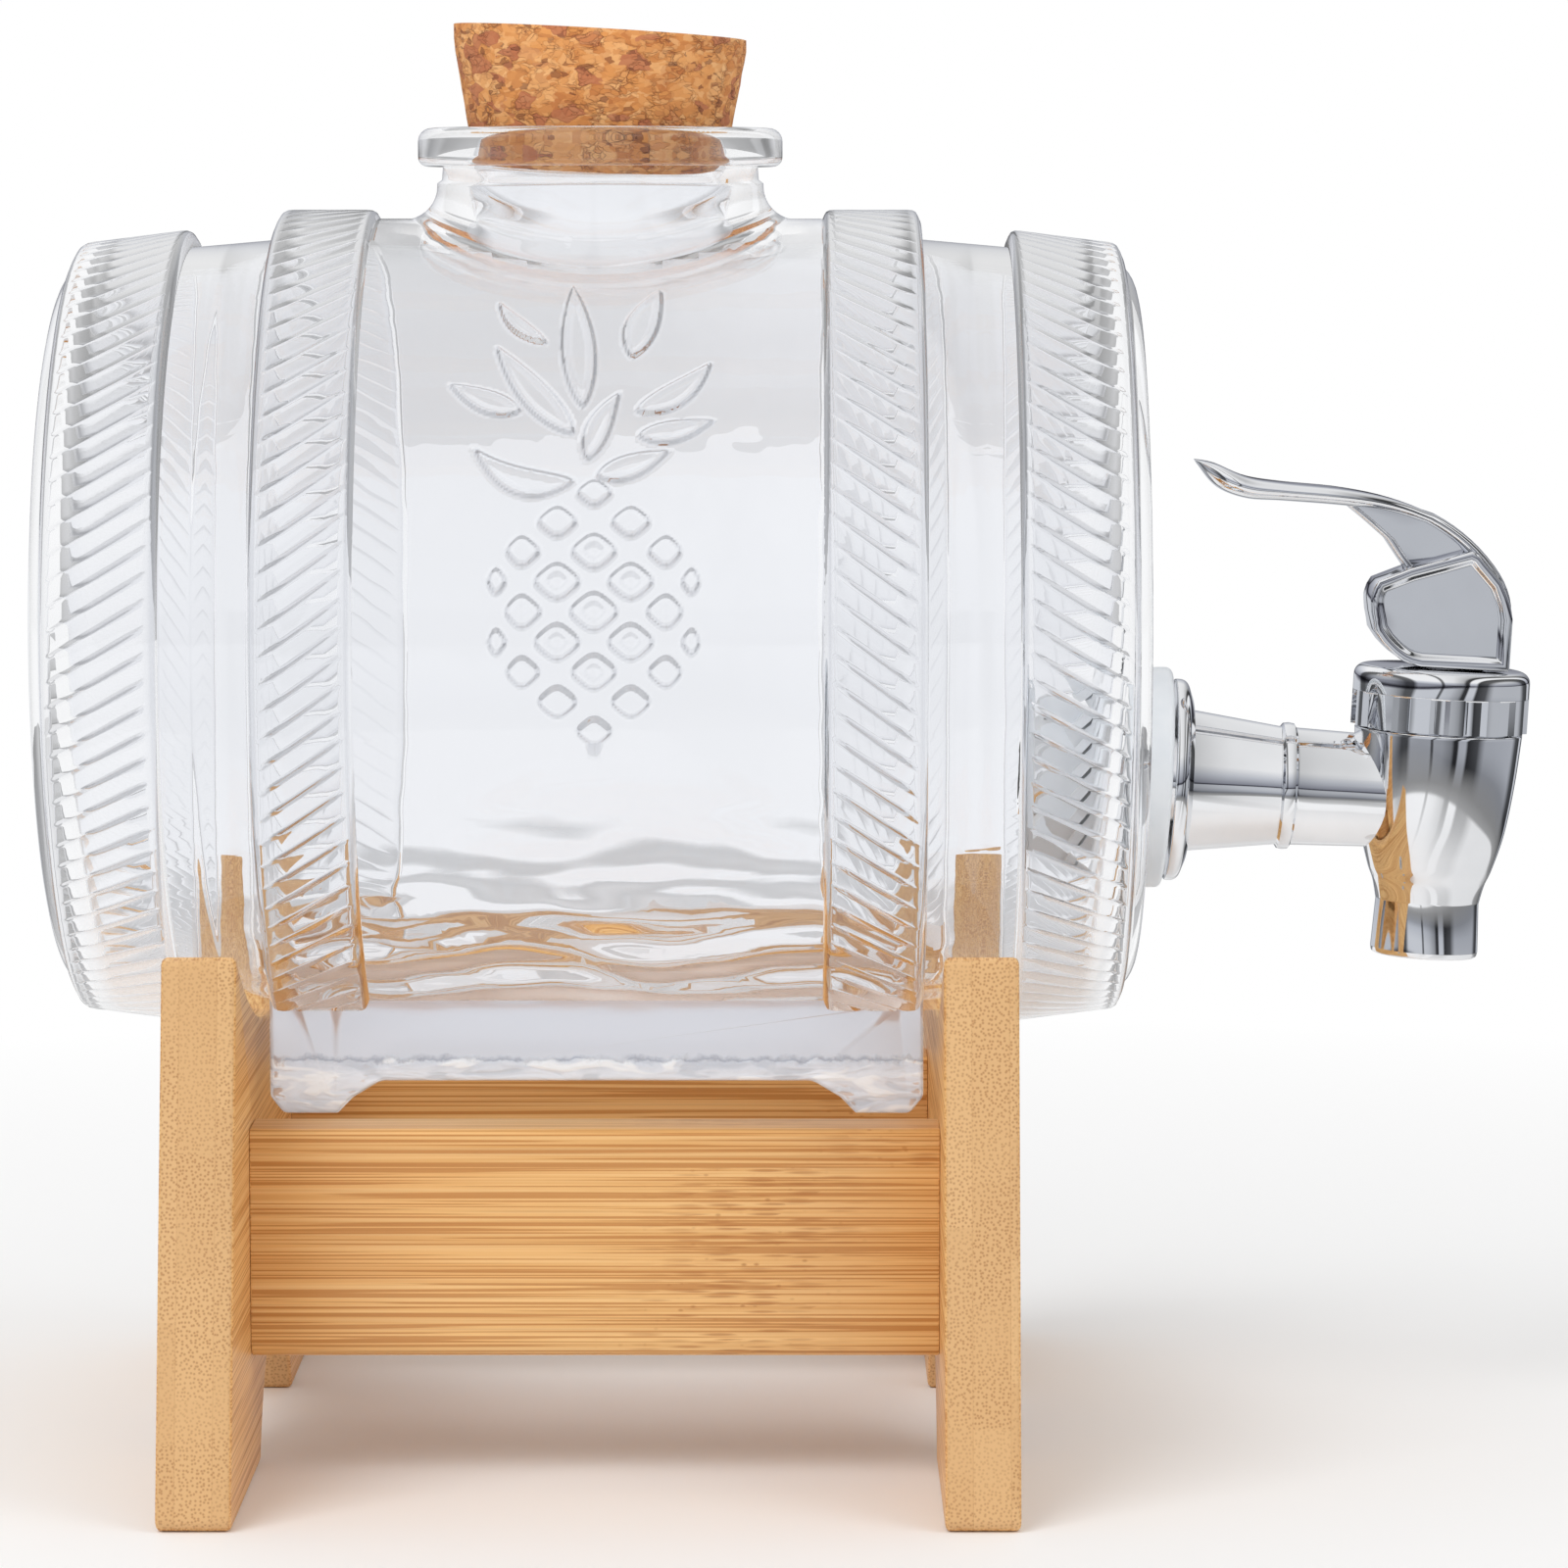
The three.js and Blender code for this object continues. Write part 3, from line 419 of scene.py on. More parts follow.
def lathe(profile, steps, axis="X"):
    """A profile of (radius, place) in millimetres turned about X or Z, as a closed solid."""
    bm = bmesh.new()
    if axis == "X":
        verts = [bm.verts.new((place * MM, 0, radius * MM)) for radius, place in profile]
        way = (1, 0, 0)
    else:
        verts = [bm.verts.new((radius * MM, 0, place * MM)) for radius, place in profile]
        way = (0, 0, 1)
    pairs = list(zip(verts, verts[1:]))
    if profile[0][0] > 0:
        pairs.append((verts[-1], verts[0]))
    edges = [bm.edges.new(pair) for pair in pairs]
    bmesh.ops.spin(bm, geom=verts + edges, cent=(0, 0, 0), axis=way, angle=2 * math.pi, steps=steps,
                   use_merge=True, use_duplicate=False)
    bmesh.ops.remove_doubles(bm, verts=bm.verts, dist=0.0005 * MM)
    bmesh.ops.recalc_face_normals(bm, faces=bm.faces)
    return bm


def moved(bm, x=0.0, y=0.0, z=0.0):
    bmesh.ops.translate(bm, verts=bm.verts, vec=(x * MM, y * MM, z * MM))
    return bm


belly, groove, cavity_radius = 68.7, 65.2, 64.1
half_length, lip_top, tap_drop, plinth_half = 89.8, 83.8, 25.7, 34.8


def smooth(value, low, high):
    share = min(max((value - low) / (high - low), 0.0), 1.0)
    return share * share * (3 - 2 * share)


def fruit(u, v):
    """Height of the fruit: rounded diamond pads, widest in the middle, some with a dimple."""
    column, row, middle_u, middle_v = 11.6, 9.5, 0.9, 7.2
    across = (u - middle_u) * (1 + 0.13 * (abs(u - middle_u) / 15.4) ** 6)
    p = across / column + (v - middle_v) / row
    q = across / column - (v - middle_v) / row
    pad_u = (round(p) + round(q)) * column / 2
    pad_v = (round(p) - round(q)) * row / 2
    out = math.hypot(pad_u / 17.5, pad_v / 19.5)
    if out > 1.05:
        return 0.0
    dp, dq = abs(p - round(p)), abs(q - round(q))
    inside = (0.42 - 0.12 * out * out - (dp ** 3.4 + dq ** 3.4) ** (1 / 3.4)) * 7.3
    dimple = 0.25 * smooth(inside, 1.5, 2.0) * smooth(1 - out, 0.3, 0.4)
    return smooth(inside, 0.0, 0.6) - dimple


# Each leaf of the crown runs from a base to a tip, with half its width and how far it bows.
leaves = [((-2.3, 28.1), (-18.6, 34.3), 2.6, -3.0), ((-10.9, 40.4), (-22.8, 45.9), 2.4, -0.6),
          ((-2.5, 36.3), (-15.5, 54.1), 2.7, -0.8), ((-7.1, 54.1), (-15.3, 64.6), 1.7, -1.2),
          ((-1.1, 41.1), (-3.3, 69.0), 2.9, 0.0), ((6.6, 51.0), (11.1, 67.7), 2.9, -0.5),
          ((7.3, 40.4), (19.5, 50.5), 2.5, 1.6), ((-0.3, 31.7), (4.9, 44.4), 2.2, -0.6),
          ((7.7, 36.0), (20.2, 39.0), 2.2, 0.6), ((1.2, 29.0), (13.1, 33.6), 2.3, 0.4)]


def crown(u, v):
    """Height of the crown: separate pointed leaves with a crisp edge and a slightly sunk middle."""
    best = 0.0
    for base, tip, half_width, bow in leaves:
        du, dv = tip[0] - base[0], tip[1] - base[1]
        length = math.hypot(du, dv)
        t = ((u - base[0]) * du + (v - base[1]) * dv) / length ** 2
        if 0 < t < 1:
            side = ((u - base[0]) * dv - (v - base[1]) * du) / length - bow * 4 * t * (1 - t)
            inside = half_width * math.sin(math.pi * t ** 0.75) ** 0.85 - abs(side)
            best = max(best, smooth(inside, 0.0, 0.6) - 0.25 * smooth(inside, 0.9, 1.6))
    return best


def barrel_body():
    end = rounded([(0, -half_length), (62.4, -half_length, 6.5), (63, -70), (groove, -68.6)], 10)[:12]
    left = end + [(groove, -54.0), (66.6, -52.8), (66.6, -38.6), (belly, -37.2), (belly, -30)]
    fine = [(belly, -23.4 + 0.42 * i) for i in range(107)]
    right = [(radius, -place) for radius, place in reversed(left)]
    profile = left + fine + right
    bm = bmesh.new()
    low, high = math.radians(-11.5), math.radians(59)
    verts = [bm.verts.new((place * MM, -radius * math.cos(low) * MM, radius * math.sin(low) * MM))
             for radius, place in profile]
    edges = [bm.edges.new(pair) for pair in zip(verts, verts[1:])]
    near = bmesh.ops.spin(bm, geom=verts + edges, cent=(0, 0, 0), axis=(-1, 0, 0), angle=high - low,
                          steps=200, use_merge=False, use_duplicate=False)
    bmesh.ops.spin(bm, geom=near["geom_last"], cent=(0, 0, 0), axis=(-1, 0, 0),
                   angle=2 * math.pi - high + low, steps=110, use_merge=False, use_duplicate=False)
    bmesh.ops.remove_doubles(bm, verts=bm.verts, dist=0.002 * MM)
    bmesh.ops.recalc_face_normals(bm, faces=bm.faces)
    for vert in bm.verts:
        radius = math.hypot(vert.co.y, vert.co.z) / MM
        if abs(radius - belly) < 0.01 and vert.co.y < 0:
            u, v = vert.co.x / MM, belly * math.atan2(vert.co.z, -vert.co.y)
            share = (radius + 0.8 * max(fruit(u, v), crown(u, v))) / radius
            vert.co.y *= share
            vert.co.z *= share
    return bm


# Each hoop on one half of the barrel: near edge, far edge and the radius at each.
hoops = [(37.6, 53.3, 70.2, 70.2), (68.8, 87.0, 66.9, 64.6)]
# A strand of the rope is round-topped, with a narrow groove to the next: (share of its pitch, height).
strand_shares = [(0.0, 0.0), (0.08, 0.75), (0.2, 0.97), (0.5, 1.0), (0.8, 0.97), (0.92, 0.75)]


def roped_hoop(start, end, inner_radius, outer_radius, slope, strands=100, depth=0.3):
    """A hoop whose outer face slants from one radius to the other, with slanting strands all round."""
    width = end - start
    edge = [(0.0, 0.95), (0.35, 0.36), (0.9, 0.08), (1.8, 0.0)]
    spots = [(start + x, sunk) for x, sunk in edge] + [(start + width * s, 0.0) for s in (0.25, 0.5, 0.75)]
    spots += [(end - x, sunk) for x, sunk in reversed(edge)]

    def radius_at(x):
        return inner_radius + (outer_radius - inner_radius) * (x - start) / width

    root, overlap, wall = 60, 0.4, 1.9
    profile = [(root, start - overlap), (radius_at(start) - wall, start - overlap)]
    profile += [(radius_at(x) - sunk, x) for x, sunk in spots]
    profile += [(radius_at(end) - wall, end + overlap), (root, end + overlap)]
    bm = lathe(profile, strands * len(strand_shares))
    pitch = 2 * math.pi / strands
    for vert in bm.verts:
        x = vert.co.x / MM
        radius = math.hypot(vert.co.y, vert.co.z)
        if radius < (root + 1) * MM:
            continue
        angle = math.atan2(vert.co.z, -vert.co.y)
        count = round(angle / pitch * len(strand_shares))
        share, height = strand_shares[count % len(strand_shares)]
        fade = smooth(x, start + 0.8, start + 2.8) * smooth(-x, -end + 0.8, -end + 2.8)
        fade *= 1 - 0.5 * smooth(vert.co.y, 0.0, 0.03)
        radius -= (1 - height) * depth * fade * MM
        angle = (count // len(strand_shares) + share) * pitch
        angle += slope * pitch * 2.6 * (x - (start + end) / 2) / width
        vert.co.y, vert.co.z = -radius * math.cos(angle), radius * math.sin(angle)
    return bm


def drop(radius, y):
    """How far a cylinder's top has fallen at a distance from its middle."""
    return radius - math.sqrt(radius ** 2 - y ** 2)


def barrel_neck():
    lip_low, neck, foot, spread, climb = 77.4, 27.4, 68.5, 5.9, 5.6
    fillet = [(neck + spread - spread * math.cos(a), foot + climb - climb * math.sin(a))
              for a in (math.radians(d) for d in range(90, -1, -10))]
    lip = rounded([(neck - 0.8, lip_low, 0.6), (30.6, lip_low, 1.6), (30.6, lip_top, 2.2), (22, lip_top)], 6)[:-1]
    profile = [(0, 58), (neck + spread, 58)] + fillet + [(neck, lip_low - 2.8), (neck - 0.8, lip_low - 2.2)] + lip
    profile += [(0, lip_top)]
    bm = lathe(profile, 128, "Z")
    for vert in bm.verts:
        y, z = vert.co.y / MM, vert.co.z / MM
        vert.co.z -= drop(belly, y) * smooth(lip_low - 2.6 - z, 0.0, 5) * MM
    return bm


def barrel_plinth():
    half = [(35.5, -72.6, 3), (40.2, -75.4, 2), (42.7, -78, 0.8), (51.6, -78, 1.6), (53.8, -75.2, 1.6), (53.8, -45)]
    outline = rounded([(-x, *rest) for x, *rest in reversed(half)] + half, 5)
    bm = prism(outline, "Y", -plinth_half, plinth_half)
    return soften(bm, 1.5, angle=55, segments=4, keep=lambda e: min(v.co.z for v in e.verts) < -46 * MM
                  and abs(e.verts[0].co.y - e.verts[1].co.y) < MM)


def barrel_cavity():
    """The hollow: round at its ends, with a thicker and slightly wavy floor, as pressed glass has."""
    half = rounded([(66, 0), (cavity_radius, 50, 12), (60.4, 62, 12), (57.8, 84.8, 6), (0, 84.8)], 8)[1:]
    middle = [(half[0][0], 2.0 * i) for i in range(-20, 21)]
    bm = lathe([(radius, -place) for radius, place in reversed(half)] + middle + half, 192)
    for vert in bm.verts:
        x, y, z = vert.co / MM
        radius = math.hypot(y, z)
        if radius > 50 and z < -20:
            around = radius * math.atan2(z, -y)
            wave = 0.34 * math.sin(around / 1.7 + 1.3 * math.sin(x / 7.5)) + 0.34 * math.sin(around / 3.1 - x / 9)
            wave += 0.12 * math.sin(x / 2.3 + 1.5 * math.sin(around / 3.3))
            share = (radius - (0.9 + wave) * smooth(-z, 34, 52) * smooth(-abs(x), -56, -40)) / radius
            vert.co.y *= share
            vert.co.z *= share
    return bm


def glass_barrel():
    far = [roped_hoop(-high, -low, outer, inner, 1) for low, high, inner, outer in reversed(hoops)]
    near = [roped_hoop(*hoop, -1) for hoop in hoops]
    outside = combined(barrel_body(), [*far, *near, barrel_neck(), barrel_plinth()], "UNION")
    throat, flare_radius = 22.35, 4.5
    flare = [(throat + flare_radius * (1 - math.cos(a)), cavity_radius + flare_radius * (1 - math.sin(a)))
             for a in (math.radians(d) for d in range(90, -1, -10))]
    mouth = rounded([(throat, 82.6), (24.2, 84.6, 1), (24.2, 90), (0, 90)])
    bore = lathe([(0, 40), (throat + flare_radius, 40)] + flare + mouth, 96, "Z")
    for vert in bore.verts:
        y, z = vert.co.y / MM, vert.co.z / MM
        if z > 50:
            vert.co.z -= drop(cavity_radius, y) * smooth(78 - z, 0.0, 8) * MM
    tap_hole = moved(lathe([(0, 60), (9, 60), (9, 95), (0, 95)], 48), z=-tap_drop)
    return moved(combined(outside, [barrel_cavity(), bore, tap_hole], "DIFFERENCE"), x=barrel_x, z=axis_z)


def lit_through(tree, shader, turns=0.5):
    """Lets lamplight through the glass, and light that has turned round inside it more often than `turns`."""
    path = add(tree, "ShaderNodeLightPath")
    through = maths(tree, "MAXIMUM", path.outputs["Is Shadow Ray"],
                    maths(tree, "GREATER_THAN", path.outputs["Glossy Depth"], turns))
    clear = add(tree, "ShaderNodeBsdfTransparent").outputs[0]
    blend = add(tree, "ShaderNodeMixShader", {0: through, 1: shader.outputs[0], 2: clear})
    wire(tree, tree.nodes["Material Output"], Surface=blend.outputs[0])


def clear_glass():
    """Clear glass with painted shade: greyer on the hoops, darker deep in their strands' grooves and at the relief's
    edges; the neck shows one more turn of light than the rest.
    """
    tone = (0.94, 0.949, 0.97)
    material, tree, shader = new_material("clear pressed glass", Base_Color=(*tone, 1), Roughness=0.0, IOR=1.46,
                                          Transmission_Weight=1.0)
    place = own_place(tree)
    painted_shade_mask = add(tree, "ShaderNodeAttribute", attribute_name="relief painted shade").outputs["Fac"]
    # Painted shade: the glass's colour goes towards grey by each vertex's share of painted shade.
    tone_with_painted_shade = mixed(tree, times(tree, painted_shade_mask, 0.6), tone, (0.4, 0.42, 0.48))
    wire(tree, shader, Base_Color=tone_with_painted_shade, Normal=bumped(tree, noise(tree, place, 55.0), 0.35, 0.35))
    neck_height, neck_reach = 215 * MM, 41 * MM
    from_neck = vector_maths(tree, "LENGTH", vector_maths(tree, "ADD", place, (-barrel_x * MM, 0, -neck_height)))
    lit_through(tree, shader, maths(tree, "ADD", maths(tree, "LESS_THAN", from_neck, neck_reach), 0.5))
    return material


def cloudy_glass():
    """The plinth's front: pale and cloudy, with painted light on it: a painted bright band low down, a broken line of
    painted shade where the crinkled foot starts, and painted glints and dark spots on the foot.
    """
    material, tree, shader = new_material("cloudy glass of the plinth", IOR=1.46, Transmission_Weight=0.38)
    place = own_place(tree)
    grit = noise(tree, place, 480.0, 3.0)
    flow = noise(tree, vector_maths(tree, "MULTIPLY", place, (0.5, 1.0, 1.6)), 180.0, Distortion=0.8)
    height = times(tree, split(tree, place)["Z"], 10.0)
    level = maths(tree, "MULTIPLY_ADD", maths(tree, "SUBTRACT", grit, 0.5), 0.025, height)
    pale, painted_bright, painted_shade_grey = (0.64, 0.67, 0.75), (0.8, 0.83, 0.9), (0.34, 0.36, 0.42)
    # Painted light by height: a painted bright band, then a broken grey line of painted shade where the crinkled foot
    # starts.
    shade = ramp(tree, level, [(0.6, pale), (0.63, painted_bright), (0.66, painted_bright), (0.68, pale), (0.683, painted_shade_grey), (0.691, pale)])
    foot = ramp(tree, level, [(0.675, 1.0), (0.69, 0.0)])
    # Painted highlight: white glints on the crinkled foot.
    glints = times(tree, foot, ramp(tree, flow, [(0.52, 0.0), (0.58, 0.75)]))
    shade = mixed(tree, glints, shade, (1.0, 1.0, 1.0))
    # Painted shade: dark spots on the crinkled foot.
    painted_dark_spots = times(tree, foot, ramp(tree, flow, [(0.36, 0.45), (0.42, 0.0)]))
    shade = mixed(tree, painted_dark_spots, shade, (0.42, 0.45, 0.52))
    wire(tree, shader, Base_Color=shade, Roughness=maths(tree, "MULTIPLY_ADD", foot, -0.2, 0.25),
         Normal=bumped(tree, times(tree, flow, foot), 0.8, 1.0))
    lit_through(tree, shader)
    return material


def painted_shade_share(vert):
    """The share of painted shade at a vertex, from 0 to 1: by how steep the relief is on the belly's near side, or by
    how deep the vertex lies in a hoop.
    """
    u, y, z = vert.co.x / MM - barrel_x, vert.co.y / MM, vert.co.z / MM - axis_z
    for low, high, inner, outer in hoops:
        if low < abs(u) < high:
            deep = inner + (outer - inner) * (abs(u) - low) / (high - low) - math.hypot(y, z)
            return 0.2 + 0.6 * min(max(deep / 0.3, 0.0), 1.0) if deep < 2 else 0.0
    v, relief_half, relief_low, relief_high = belly * math.atan2(z, -y), 24, -14, 71
    on_belly = y <= 0 and belly - 0.1 < math.hypot(y, z) < belly + 1
    if not on_belly or abs(u) > relief_half or not relief_low < v < relief_high:
        return 0.0

    def height(du, dv):
        return max(fruit(u + du, v + dv), crown(u + du, v + dv))

    return min(math.hypot(height(0.25, 0) - height(-0.25, 0), height(0, 0.25) - height(0, -0.25)) * 1.3, 1.0)


glass = finished(glass_barrel(), "glass_barrel_pressed", clear_glass(), "barrel", ["glass_barrel"], sharp=55)
glass.data.materials.append(cloudy_glass())
# Each vertex of the glass keeps its share of painted shade, from the relief's steepness or its depth in a hoop.
painted_shade_mask = glass.data.attributes.new("relief painted shade", "FLOAT", "POINT")
painted_shade_mask.data.foreach_set("value", [painted_shade_share(vert) for vert in glass.data.vertices])
for face in glass.data.polygons:
    x, y, z = face.center / MM
    on_plinth = -plinth_half - 0.1 < y < -30 and z < 79 and abs(x - barrel_x) < 54
    if on_plinth and abs(face.normal.y) > 0.4:
        face.material_index = 1

# Cork stopper: a tapered plug of agglomerated cork granules, sawn a little out of square.
# It is pushed into the neck by hand and holds by its taper.

def cork_finish():
    material, tree, shader = new_material("agglomerated cork", Roughness=0.85)
    place = own_place(tree)
    flat = add(tree, "ShaderNodeMapping", {"Vector": place, "Scale": (1.0, 1.0, 1.8)}).outputs[0]
    coarse, fine = 260.0, 700.0
    bend = add(tree, "ShaderNodeTexNoise", {"Vector": flat, "Scale": coarse, "Detail": 3.0}).outputs["Color"]
    bent = vector_maths(tree, "MULTIPLY_ADD", bend, (0.0045, 0.0045, 0.0045), flat)

    def granules(scale, feature="F1"):
        cells = add(tree, "ShaderNodeTexVoronoi", {"Vector": bent, "Scale": scale}, feature=feature)
        if feature == "F1":
            return add(tree, "ShaderNodeSeparateColor", {"Color": cells.outputs["Color"]}).outputs
        return cells.outputs["Distance"]

    large, small = granules(coarse), granules(fine)
    colour = ramp(tree, large[0], [(0.0, (0.58, 0.21, 0.06)), (0.35, (0.73, 0.3, 0.085)), (0.8, (0.84, 0.4, 0.14)),
                                   (1.0, (0.9, 0.5, 0.21))])
    colour = mixed(tree, 0.5, colour, ramp(tree, small[1], [(0.0, (0.5, 0.16, 0.05)), (0.5, (0.78, 0.33, 0.1)),
                                                            (1.0, (0.93, 0.54, 0.25))]))
    red = ramp(tree, large[2], [(0.82, 0.0), (0.88, 0.75)])
    colour = mixed(tree, red, colour, (0.5, 0.16, 0.08))
    seam = ramp(tree, granules(coarse, "DISTANCE_TO_EDGE"), [(0.0, 1.0), (0.05, 0.0)])
    grain_edge = ramp(tree, granules(fine, "DISTANCE_TO_EDGE"), [(0.0, 1.0), (0.1, 0.0)])
    shown = ramp(tree, noise(tree, place, 300.0), [(0.42, 0.0), (0.62, 1.0)])
    lines = times(tree, maths(tree, "MAXIMUM", seam, times(tree, grain_edge, 0.6)), shown)
    colour = mixed(tree, times(tree, lines, 0.7), colour, (0.3, 0.08, 0.03))
    pit = ramp(tree, small[0], [(0.93, 0.0), (0.95, 1.0)])
    colour = mixed(tree, times(tree, pit, 0.6), colour, (0.2, 0.06, 0.03))
    height = maths(tree, "SUBTRACT", times(tree, large[1], 0.4), maths(tree, "ADD", lines, pit))
    wire(tree, shader, Base_Color=colour, Normal=bumped(tree, height, 0.7, 0.35))
    return material


def cork_stopper():
    seat, proud, low_radius, top_radius, corner, ring = 8.6, 16.0, 20.67, 25, 0.4, 3.5
    wall = [(low_radius + (top_radius - low_radius) * i / 12, -seat + (seat + proud) * i / 12) for i in range(13)]
    wall[0], wall[-1] = (low_radius - 0.37, -seat), (top_radius - corner, proud)
    under = [(ring * i, -seat) for i in range(6)]
    upper = [(top_radius - corner - ring * i, proud) for i in range(1, 7)] + [(0, proud)]
    bm = lathe(under + wall + upper, 96, "Z")
    slant = math.tan(math.radians(3.2))
    for vert in bm.verts:
        z = vert.co.z / MM
        share = z / proud if z > 0 else -z / seat
        vert.co.z -= vert.co.x * slant * share
        angle = math.atan2(vert.co.y, vert.co.x)
        chip = 0.18 * math.sin(7 * angle + z) * math.sin(11 * angle - 0.8 * z) + 0.1 * math.sin(23 * angle + 2 * z)
        if math.hypot(vert.co.x, vert.co.y) > 20 * MM:
            vert.co.x -= abs(chip) * math.cos(angle) * MM
            vert.co.y -= abs(chip) * math.sin(angle) * MM
    return moved(bm, x=barrel_x, z=axis_z + lip_top)


finished(cork_stopper(), "cork_stopper_granules", cork_finish(), "cork", ["cork_stopper"], sharp=50)

# Washers and lock nut: soft milky silicone rings either side of the glass, pulled up by a
# moulded nut on the tap's threaded tail. The outer washer is squeezed to a slight wedge.

def milky():
    material, tree, shader = new_material("milky silicone", Roughness=0.38, Transmission_Weight=0.15)
    place = own_place(tree)
    cloud = ramp(tree, noise(tree, place, 160.0), [(0.3, (0.85, 0.89, 0.93)), (0.7, (0.92, 0.95, 0.98))])
    wire(tree, shader, Base_Color=cloud)
    return material


silicone = milky()
droop = math.radians(3.2)
tap_x, tap_z = barrel_x + half_length, axis_z - tap_drop
tap_place = Matrix.Translation((tap_x * MM, 0, tap_z * MM)) @ Matrix.Rotation(droop, 4, "Y")


def outer_washer():
    hole, rim, thickness = 8.6, 18.7, 5.9
    bm = lathe(rounded([(hole, 0, 0.4), (rim, 0, 1.1), (rim, thickness, 1.1), (hole, thickness, 0.4)], 5), 96)
    for vert in bm.verts:
        vert.co.x += max(vert.co.x / MM / thickness, 0) * vert.co.z * math.tan(droop)
    return moved(bm, x=tap_x, z=tap_z)


finished(outer_washer(), "outer_washer_silicone", silicone, "barrel", ["outer_washer"])
for node in ("inner_washer", "lock_nut"):
    paint(node, silicone)

# Tap body: moulded plastic with bright chrome plating, in one piece: a threaded tail inside the
# barrel, a domed flange, a tapering shank with a bead, and the upright valve body with its spout.

def plating():
    material, tree, shader = new_material("chrome plating", Metallic=1.0)
    place = own_place(tree)
    haze = noise(tree, place, 75.0, 3.0)
    wire(tree, shader, Base_Color=ramp(tree, haze, [(0.3, (0.8, 0.81, 0.83)), (0.7, (0.87, 0.88, 0.9))]),
         Roughness=ramp(tree, haze, [(0.35, 0.02), (0.7, 0.05)]),
         Normal=bumped(tree, noise(tree, place, 45.0, 1.0), 1.0, 0.5))
    return material


chrome = plating()
flange_back, valve_line = 6.2, 51.6


def along(points, share):
    """A point at a share of a smooth curve through the points."""
    place = share * (len(points) - 1)
    i = min(int(place), len(points) - 2)
    t = place - i
    p = [Vector(points[min(max(k, 0), len(points) - 1)]) for k in (i - 1, i, i + 1, i + 2)]
    return 0.5 * (2 * p[1] + (p[2] - p[0]) * t + (2 * p[0] - 5 * p[1] + 4 * p[2] - p[3]) * t ** 2
                  + (3 * p[1] - p[0] - 3 * p[2] + p[3]) * t ** 3)


def tap_body():
    tail, pitch = -18.1, 3
    thread = [(0, tail)]
    for start in (tail + pitch * i for i in range(7)):
        thread += [(7.5, start), (8.0, start + 0.8), (8.0, start + 1.2), (7.5, start + 2.0)]
    thread = [(r, x) for r, x in thread if x < 2.8] + [(7.5, flange_back)]
    flange = rounded([(17.1, flange_back, 0.3), (17.1, flange_back + 2.3, 1.6), (13.8, flange_back + 3.5, 2.2),
                      (10.8, flange_back + 3.7, 0.5)], 6)
    bead = [(radius, flange_back + x) for radius, x in (
        (10.05, 18.5), (10.1, 18.7), (10.65, 19.1), (10.78, 20.0), (10.65, 20.9), (10.0, 21.3), (9.95, 21.6))]
    shank = lathe(thread + flange + bead + [(9.2, valve_line), (0, valve_line)], 96)
    bulge = [(8.75, -18.2), (9.5, -15), (10.6, -12.2), (12.3, -6), (13.5, 2.5), (14.2, 11)]
    bulge = [tuple(along(bulge, i / 40)) for i in range(40)]
    valve = moved(lathe(rounded([(0, -27.4), (8.9, -27.4, 0.5), (9.1, -26.4, 0.3), *bulge, (14.2, 11, 0.3),
                                 (12.3, 11), (12.3, 17), (0, 17)], 6), 96, "Z"), x=valve_line)
    outside = combined(shank, [valve], "UNION")
    chamber = moved(lathe([(0, -29), (7.3, -29), (7.2, -13), (5, -10.6), (5, -8.5), (7.3, -5.5), (9.6, 0),
                           (9.6, 18), (0, 18)], 64, "Z"), x=valve_line)
    passage = lathe([(0, -26), (5, -26), (5, valve_line), (0, valve_line)], 32)
    bm = combined(outside, [chamber, passage], "DIFFERENCE")
    bmesh.ops.transform(bm, matrix=tap_place, verts=bm.verts)
    return bm


finished(tap_body(), "tap_body_chrome", chrome, "barrel", ["tap_body"])

# Bonnet: a chromed screw cap that closes the valve, with a plain rim above and raised lugs below.
# It holds a silicone gasket on the valve body and a small rubber ring round the stem.

def bonnet():
    radius, split, top, foot = 14.9, 17.0, 21.6, 11.3
    lugs, valley_share, valley_depth = 14, 0.46, 0.75
    cap = lathe(rounded([(0, split), (radius, split, 0.3), (radius, top, 1.9), (0, top)], 8), lugs * 8, "Z")
    skirt = bmesh.new()
    bmesh.ops.create_circle(skirt, cap_ends=True, segments=lugs * 8, radius=radius * MM)
    for vert in skirt.verts:
        turn = (math.atan2(vert.co.y, vert.co.x) / (2 * math.pi) * lugs) % 1.0
        share = (radius - (valley_depth if turn < valley_share else 0.0)) / radius
        vert.co = (vert.co.x * share, vert.co.y * share, foot * MM)
    grown = bmesh.ops.extrude_face_region(skirt, geom=skirt.faces[:], use_keep_orig=True)
    bmesh.ops.translate(skirt, verts=[e for e in grown["geom"] if isinstance(e, bmesh.types.BMVert)],
                        vec=(0, 0, (split - foot + 0.2) * MM))
    bmesh.ops.recalc_face_normals(skirt, faces=skirt.faces)
    hollow = lathe([(0, 10), (12.6, 10), (12.6, 19), (0, 19)], 64, "Z")
    stem_hole = lathe([(0, 10), (2.5, 10), (2.5, 23), (0, 23)], 32, "Z")
    bm = combined(combined(cap, [skirt], "UNION"), [hollow, stem_hole], "DIFFERENCE")
    moved(bm, x=valve_line)
    bmesh.ops.transform(bm, matrix=tap_place, verts=bm.verts)
    return bm


def black_rubber():
    material, tree, shader = new_material("black rubber", Roughness=0.6)
    place = own_place(tree)
    wire(tree, shader, Base_Color=ramp(tree, noise(tree, place, 700.0), [(0.4, 0.015), (0.7, 0.035)]))
    return material


finished(bonnet(), "bonnet_chrome", chrome, "barrel", ["bonnet"])
paint("bonnet_gasket", silicone)
paint("stem_ring", black_rubber())

